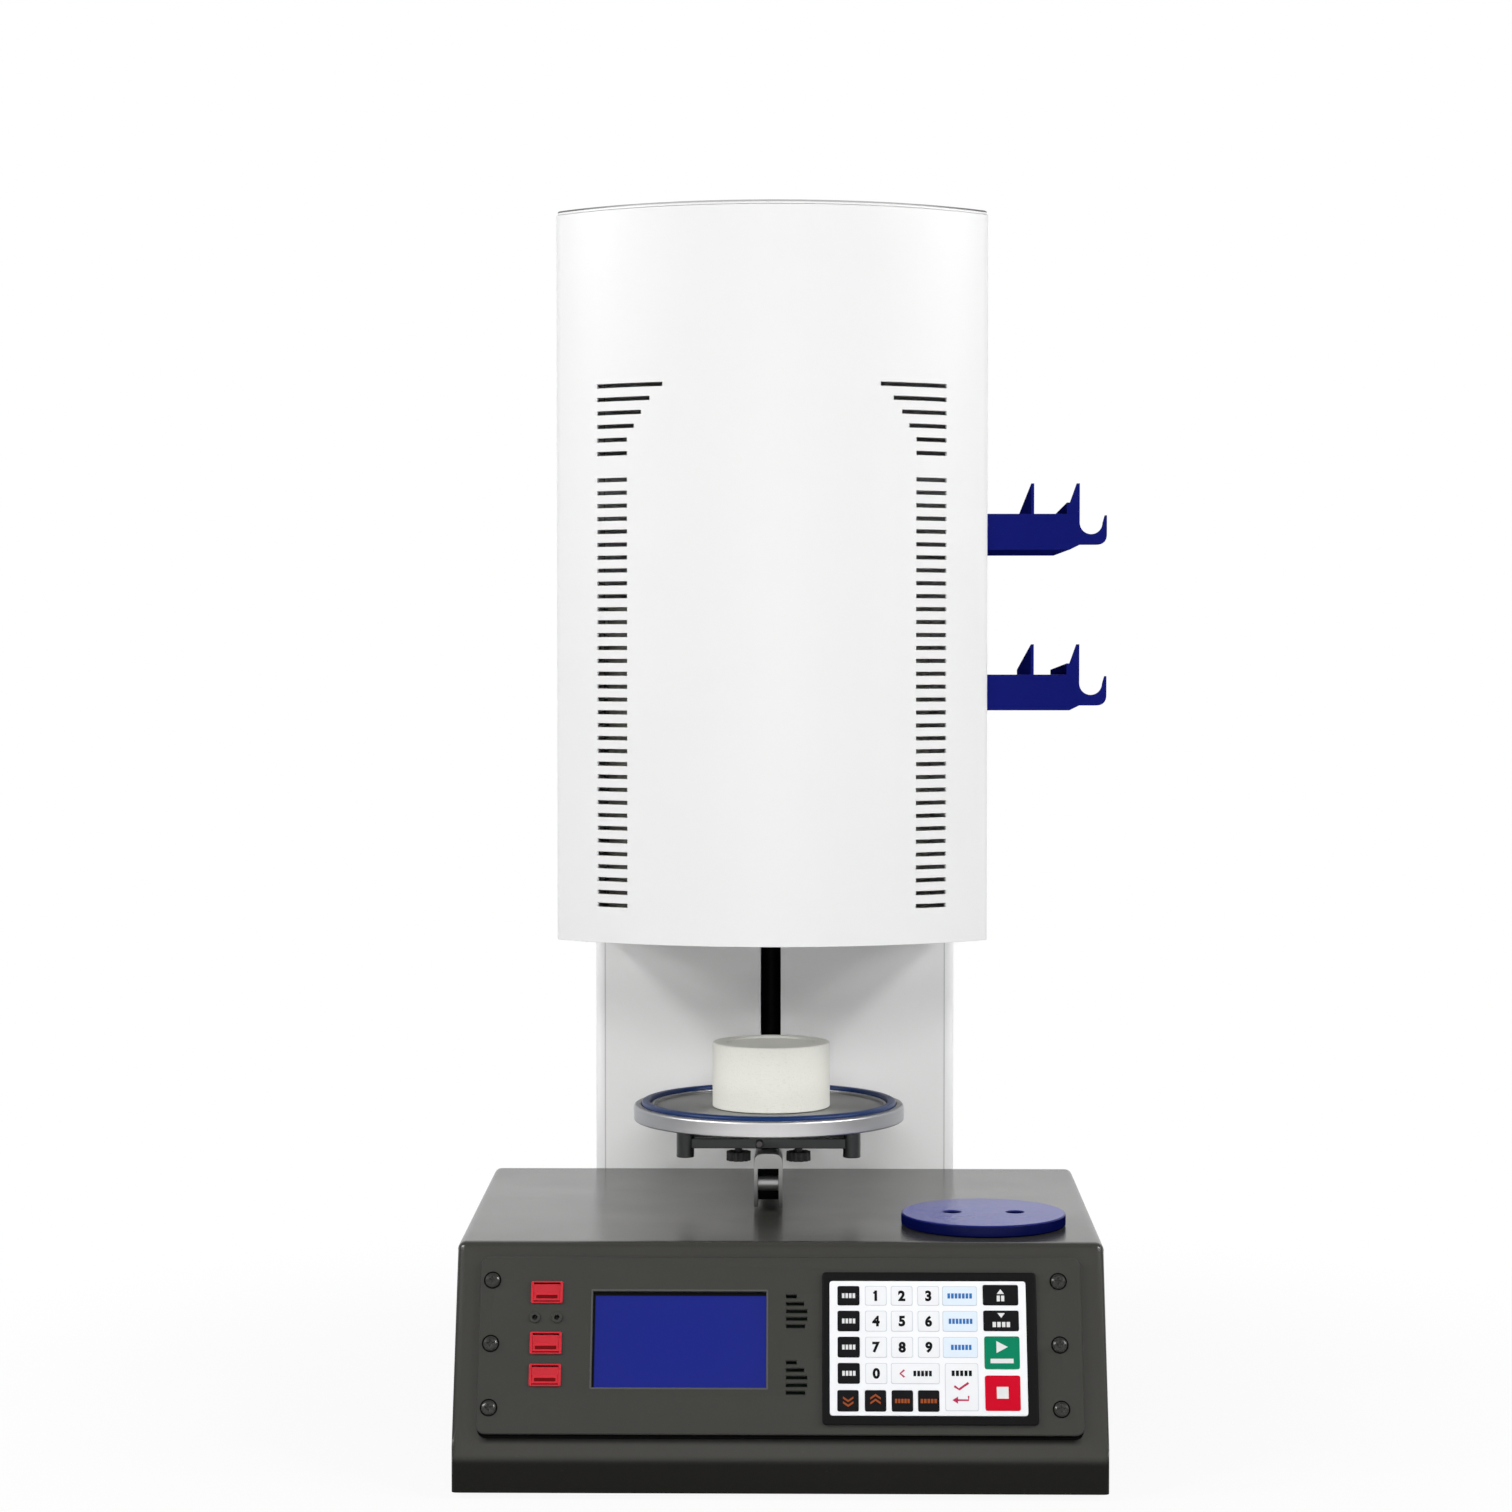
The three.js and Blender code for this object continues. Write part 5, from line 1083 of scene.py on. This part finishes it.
# Dashes are given by x, y, width, height and count, arrow heads and bars by x, y, width and height
WHITE_DASHES = [*((42.4, y, 8.8, 3.0, 4) for y in ROWS[:4]), (136.7, 28.8, 5.4, 3.6, 2),
                (136.9, 12.6, 11.6, 3.2, 4)]
BLUE_DASHES = [(111.4, ROWS[0], 15.8, 3.2, 7), (111.7, ROWS[1], 15.2, 3.2, 7), (111.9, ROWS[2], 13.2, 3.2, 6)]
DARK_DASHES = [(87.8, ROWS[3], 12.0, 3.4, 5), (111.9, ROWS[3] + 0.2, 13.2, 3.4, 5)]
ORANGE_DASHES = [(75.2, ROWS[4], 9.6, 2.6, 5), (91.4, ROWS[4], 10.6, 2.6, 5)]
ARROW_UP, ARROW_DOWN = (136.7, 31.6, 4.6, 3.0), (136.9, 19.7, 4.6, 3.0)
WHITE_BARS = [(136.9, -9.9, 14.2, 2.8), (136.9, -29.4, 7.2, 7.2)]
PLAY_SIGN = [(133.6, -5.0), (140.6, -1.3), (133.6, 2.4)]
CHEVRON, CHEVRON_STEPS = (6.4, 2.2, 1.3), (0.0, 2.9)
CHEVRON_DOWN, CHEVRON_UP = (41.9, -33.2), (58.7, -35.4)
THIN_STROKE, TICK_STROKE = 1.1, 1.4
FLAG = [(DIGIT_X[0] - 1.5, ROWS[0] + 1.5), (DIGIT_X[0] + 0.2, ROWS[0] + 2.6)]
BACK_SIGN = [(76.6, -15.6), (74.0, -17.8), (76.6, -20.0)]
ENTER_LINE = [(115.9, -31.4), (115.9, -34.0), (108.6, -34.0)]
ENTER_HEAD = [(109.4, -36.2), (109.4, -31.8), (105.9, -34.0)]
TICK = [(107.2, -25.4), (110.2, -27.4), (116.0, -23.4)]


def key_plates(name, places, material, radius=KEY_RADIUS, height=KEY_HEIGHT):
    """Keys given by left, right, bottom and top: low plates with a round upper edge."""
    keys = []
    for left, right, bottom, top in places:
        outline = rectangle(right - left, top - bottom, radius, (left + right) / 2, (bottom + top) / 2)
        keys.append(laid_on_panel(crowned(outline, KEYPAD_FACE - ROOT, KEYPAD_FACE + height, KEY_EDGE)))
    add_piece(name, joined(keys), material, "frame")


def outlined_keys(name, places, material):
    """Light keys, each on a slightly larger plate that shows round it as a thin line."""
    key_plates(f"{name}_lines", places, "key_line", height=LINE_HEIGHT)
    fields = [(left + LINE_WIDTH, right - LINE_WIDTH, bottom + LINE_WIDTH, top - LINE_WIDTH)
              for left, right, bottom, top in places]
    key_plates(name, fields, material)


def signs(name, outlines, material):
    """Printed signs: counter-clockwise outlines lifted a hair off the key that they are on."""
    base = KEYPAD_FACE + KEY_HEIGHT
    layers = [(0.0, base - HAIR), (0.0, base + SIGN_HEIGHT)]
    plates = [laid_on_panel(layered(np.asarray(outline, dtype=float), layers)) for outline in outlines]
    add_piece(name, joined(plates), material, "frame")


def bar(x, y, width, height):
    return rectangle(width, height, 0, x, y)


def dash_row(x, y, width, height, count):
    """A row of short blocks where a label would be."""
    pitch = width / count
    return [bar(x - width / 2 + (i + 0.5) * pitch, y, pitch * DASH_SHARE, height) for i in range(count)]


def stroke(points, width):
    """A bent line of even width: each point is pushed out to both sides along its mean normal."""
    points = np.asarray(points, dtype=float)
    along = np.gradient(points, axis=0)
    along /= np.linalg.norm(along, axis=1, keepdims=True)
    side = np.stack([-along[:, 1], along[:, 0]], axis=-1) * width / 2
    return np.concatenate([points - side, (points + side)[::-1]])


def chevron(x, y, width, drop, thickness):
    half = width / 2
    lower = [(x - half, y), (x, y - drop), (x + half, y)]
    return np.array(lower + [(across, up + thickness) for across, up in lower[::-1]])


def arrow_head(x, y, width, height):
    return np.array([(x - width / 2, y), (x + width / 2, y), (x, y + height)])


def flipped(outline, y):
    """The outline upside down about a height, and counter-clockwise again."""
    return (outline * [1, -1] + [0, 2 * y])[::-1]


def digit_plate(text, x, y):
    """A digit's outline as a thin closed plate, centred at x and y on its key."""
    curve = bpy.data.curves.new("digit", "FONT")
    curve.body = text
    curve.size = DIGIT_SIZE
    curve.align_x, curve.align_y = "CENTER", "CENTER"
    curve.extrude = SIGN_HEIGHT
    curve.offset = DIGIT_WEIGHT
    curve.resolution_u = 4
    holder = bpy.data.objects.new("digit", curve)
    mesh = holder.to_mesh()
    points = np.array([vertex.co for vertex in mesh.vertices], dtype=float)
    middle = (points.min(axis=0) + points.max(axis=0)) / 2
    faces = [list(face.vertices) for face in mesh.polygons]
    holder.to_mesh_clear()
    bpy.data.objects.remove(holder)
    bpy.data.curves.remove(curve)
    return laid_on_panel((points - middle + [x, y, KEYPAD_FACE + KEY_HEIGHT], faces))


def make_keypad():
    outline = rectangle(FOIL_WIDTH, FOIL_HEIGHT, FOIL_CORNER, FOIL_X, FOIL_Y)
    foil = crowned(outline, KEYPAD_FACE - FOIL_DEPTH, KEYPAD_FACE, FOIL_EDGE)
    add_piece("keypad_foil_sheet", laid_on_panel(foil), "foil_white", "frame", ("keypad_foil",))
    key_plates("keypad_keys_black", KEYS_BLACK, "print_black")
    outlined_keys("keypad_keys_light", KEYS_LIGHT, "key_white")
    outlined_keys("keypad_keys_sky", KEYS_SKY, "key_sky")
    key_plates("keypad_key_start", [KEY_START], "key_green", BIG_KEY_RADIUS)
    key_plates("keypad_key_stop", [KEY_STOP], "key_red", BIG_KEY_RADIUS)
    digits = [(str(3 * r + c + 1), DIGIT_X[c], ROWS[r]) for r in range(3) for c in range(3)]
    digits.append(("0", DIGIT_X[0], ROWS[3]))
    plates = joined(digit_plate(*digit) for digit in digits)
    add_piece("keypad_digits", plates, "print_black", "frame")


def make_keypad_signs():
    """Bars, arrows, dashes and a tick, each in the colour of its print."""
    def dashes(rows):
        return [dash for row in rows for dash in dash_row(*row)]

    signs("keypad_digit_flag", [stroke(FLAG, THIN_STROKE)], "print_black")
    white = [*dashes(WHITE_DASHES), arrow_head(*ARROW_UP), flipped(arrow_head(*ARROW_DOWN), ARROW_DOWN[1])]
    signs("keypad_signs_white", [*white, PLAY_SIGN, *(bar(*place) for place in WHITE_BARS)], "print_white")
    signs("keypad_signs_blue", dashes(BLUE_DASHES), "print_blue")
    signs("keypad_signs_dark", dashes(DARK_DASHES), "print_black")
    red = [*(stroke(line, THIN_STROKE) for line in (BACK_SIGN, ENTER_LINE)), ENTER_HEAD]
    signs("keypad_signs_red", [*red, stroke(TICK, TICK_STROKE)], "print_red")
    (down_x, down_y), (up_x, up_y) = CHEVRON_DOWN, CHEVRON_UP
    orange = [chevron(down_x, down_y - step, *CHEVRON) for step in CHEVRON_STEPS]
    orange += [flipped(chevron(up_x, up_y + step, *CHEVRON), up_y + step) for step in CHEVRON_STEPS]
    signs("keypad_signs_orange", [*orange, *dashes(ORANGE_DASHES)], "print_orange")


# Rocker marks
ROCKER_RISES = (32.4, 0.8, -19.0)
PIVOT_OUT, REST_TILT = 3.6, math.radians(7.0)
ROCKER_MIDDLE_OUT, ROCKER_END_OUT, ROCKER_HALF = 1.3, 2.5, 5.1
MARK_WIDTH, MARK_LOW, MARK_HIGH, MARK_CORNER = 13.4, -3.7, -1.5, 0.5


def make_rocker_marks():
    """A dark bar across each rocker's lower half, which lies on its slanted face."""
    outline = rectangle(MARK_WIDTH, MARK_HIGH - MARK_LOW, MARK_CORNER, 0.0, (MARK_LOW + MARK_HIGH) / 2)
    points, faces = layered(outline, [(0.0, -ROOT), (0.0, HAIR)])
    across, along, lift = points.T
    out = ROCKER_MIDDLE_OUT - along * (ROCKER_END_OUT - ROCKER_MIDDLE_OUT) / ROCKER_HALF + lift
    up = along * math.cos(REST_TILT) - out * math.sin(REST_TILT)
    out = along * math.sin(REST_TILT) + out * math.cos(REST_TILT)
    for i, rise in enumerate(ROCKER_RISES, 1):
        mark = on_panel(across + ROCKER_X, up + rise, out + PIVOT_OUT), faces
        add_piece(f"rocker_mark_{i}", mark, "red_shade", f"rocker_{i}")


# Studio, in metres
FLOOR_REACH, FLOOR_DROP = 9.0, 0.0002
WALL_Y, WALL_BEND, WALL_TOP = 3.2, 1.6, 7.0
SHADOW_START, SHADOW_END, SHADOW_SHARE, GLEAM_REACH = 0.25, 0.8, 0.92, (-0.2, 0.4)
BEND_STEPS = 25
LAMP_AIM = (0.0, 0.1, 0.35)
SIDE_LAMPS = {"high_box": ((1.67, -1.3, 1.77), 18.0), "side_box": ((2.0, -0.7, 1.3), 15.5)}
FRONT_LAMPS = {"front_box": ((0.0, -2.25, 1.0), 12.5), "low_front_box": ((0.0, -2.0, 0.45), 4.5)}
SIDE_LAMP_SIZE, FRONT_LAMP_SIZE = (0.35, 0.35), (0.6, 0.3)


def make_floor_paper():
    """Pale paper that also glows to the camera, less near the furnace, and behind it in reflections."""
    finish = Finish("floor_paper")
    finish.feed(Base_Color=rgb(0.75), Roughness=0.85, Specular_IOR_Level=0.1)
    away = finish.ramp(finish.length(finish.where), SHADOW_START, SHADOW_END, SHADOW_SHARE, 1.0, smooth=True)
    rays = finish.node("ShaderNodeLightPath")
    gleam = finish.product(rays["Is Glossy Ray"], finish.ramp(finish.place["Y"], *GLEAM_REACH))
    seen = finish.largest(rays["Is Camera Ray"], gleam, rays["Is Transmission Ray"])
    glow = finish.node("ShaderNodeEmission", Color=rgb(1.0), Strength=1.0)[0]
    share, paper = finish.product(away, seen), finish.shader.outputs[0]
    both = finish.node("ShaderNodeMixShader", i0=share, i1=paper, i2=glow)[0]
    finish.put(both, finish.tree.nodes["Material Output"].inputs["Surface"])
    return finish.material


def make_floor():
    """A floor that bends up into a backdrop: straight, a quarter circle, and straight again."""
    angle = np.linspace(0.0, math.pi / 2, BEND_STEPS)
    bend = np.column_stack([WALL_Y - WALL_BEND + WALL_BEND * np.sin(angle),
                            WALL_BEND - WALL_BEND * np.cos(angle)])
    profile = np.concatenate([[[-FLOOR_REACH, 0.0]], bend, [[WALL_Y, WALL_TOP]]])
    across = np.linspace(-FLOOR_REACH, FLOOR_REACH, 3)
    x, i = np.meshgrid(across, np.arange(len(profile)))
    points = np.stack([x, profile[i, 0], profile[i, 1] - FLOOR_DROP], axis=-1).reshape(-1, 3)
    mesh = bpy.data.meshes.new("floor")
    mesh.from_pydata(points.tolist(), [], grid_faces(len(profile), len(across)).tolist())
    mesh.shade_smooth()
    mesh.materials.append(make_floor_paper())
    floor = seat("floor", mesh)


def soft_box(name, place, size, power, in_reflections=True):
    light = bpy.data.lights.new(name, "AREA")
    light.shape = "RECTANGLE"
    light.size, light.size_y = size
    light.energy = power
    lamp = seat(name, light)
    lamp.location = place
    lamp.rotation_euler = (Vector(LAMP_AIM) - Vector(place)).to_track_quat("-Z", "Y").to_euler()
    lamp.visible_glossy = in_reflections


def make_lights():
    for side, sign in (("left", -1.0), ("right", 1.0)):
        for name, ((x, y, z), power) in SIDE_LAMPS.items():
            soft_box(f"{side}_{name}", (sign * x, y, z), SIDE_LAMP_SIZE, power)
    for name, (place, power) in FRONT_LAMPS.items():
        soft_box(name, place, FRONT_LAMP_SIZE, power, in_reflections=False)


def make_world():
    """White to the camera; reflections see it dimmer at the sides, and the fill comes mostly from behind."""
    world = bpy.data.worlds.new("studio")
    bpy.context.scene.world = world
    world.use_nodes = True
    net = Net(world.node_tree)
    rays = net.node("ShaderNodeLightPath")
    depth = net.split(net.node("ShaderNodeTexCoord")["Generated"])["Y"]
    ahead = net.ramp(depth, -0.97, -0.55, 0.8, 0.25)
    behind = net.ramp(depth, 0.45, 0.85, 0.0, 0.85)
    seen = net.largest(rays["Is Camera Ray"], rays["Is Glossy Ray"], rays["Is Transmission Ray"])
    level = net.node("ShaderNodeMix", i0=seen, i2=net.ramp(depth, 0.0, 0.5, 0.02, 0.55),
                     i3=net.largest(ahead, behind, rays["Is Camera Ray"]))[0]
    sky = net.tree.nodes["Background"].inputs
    net.put(rgb(1.0), sky["Color"])
    net.put(level, sky["Strength"])


bpy.context.scene.view_settings.view_transform = "Standard"
add_camera()
make_floor()
make_lights()
make_world()
dress_packed_nodes()
make_skins()
make_head_cover()
make_head_lid()
make_plate()
make_seal()
make_firing_block()
make_feet()
make_panel_trim()
make_keypad()
make_keypad_signs()
make_rocker_marks()
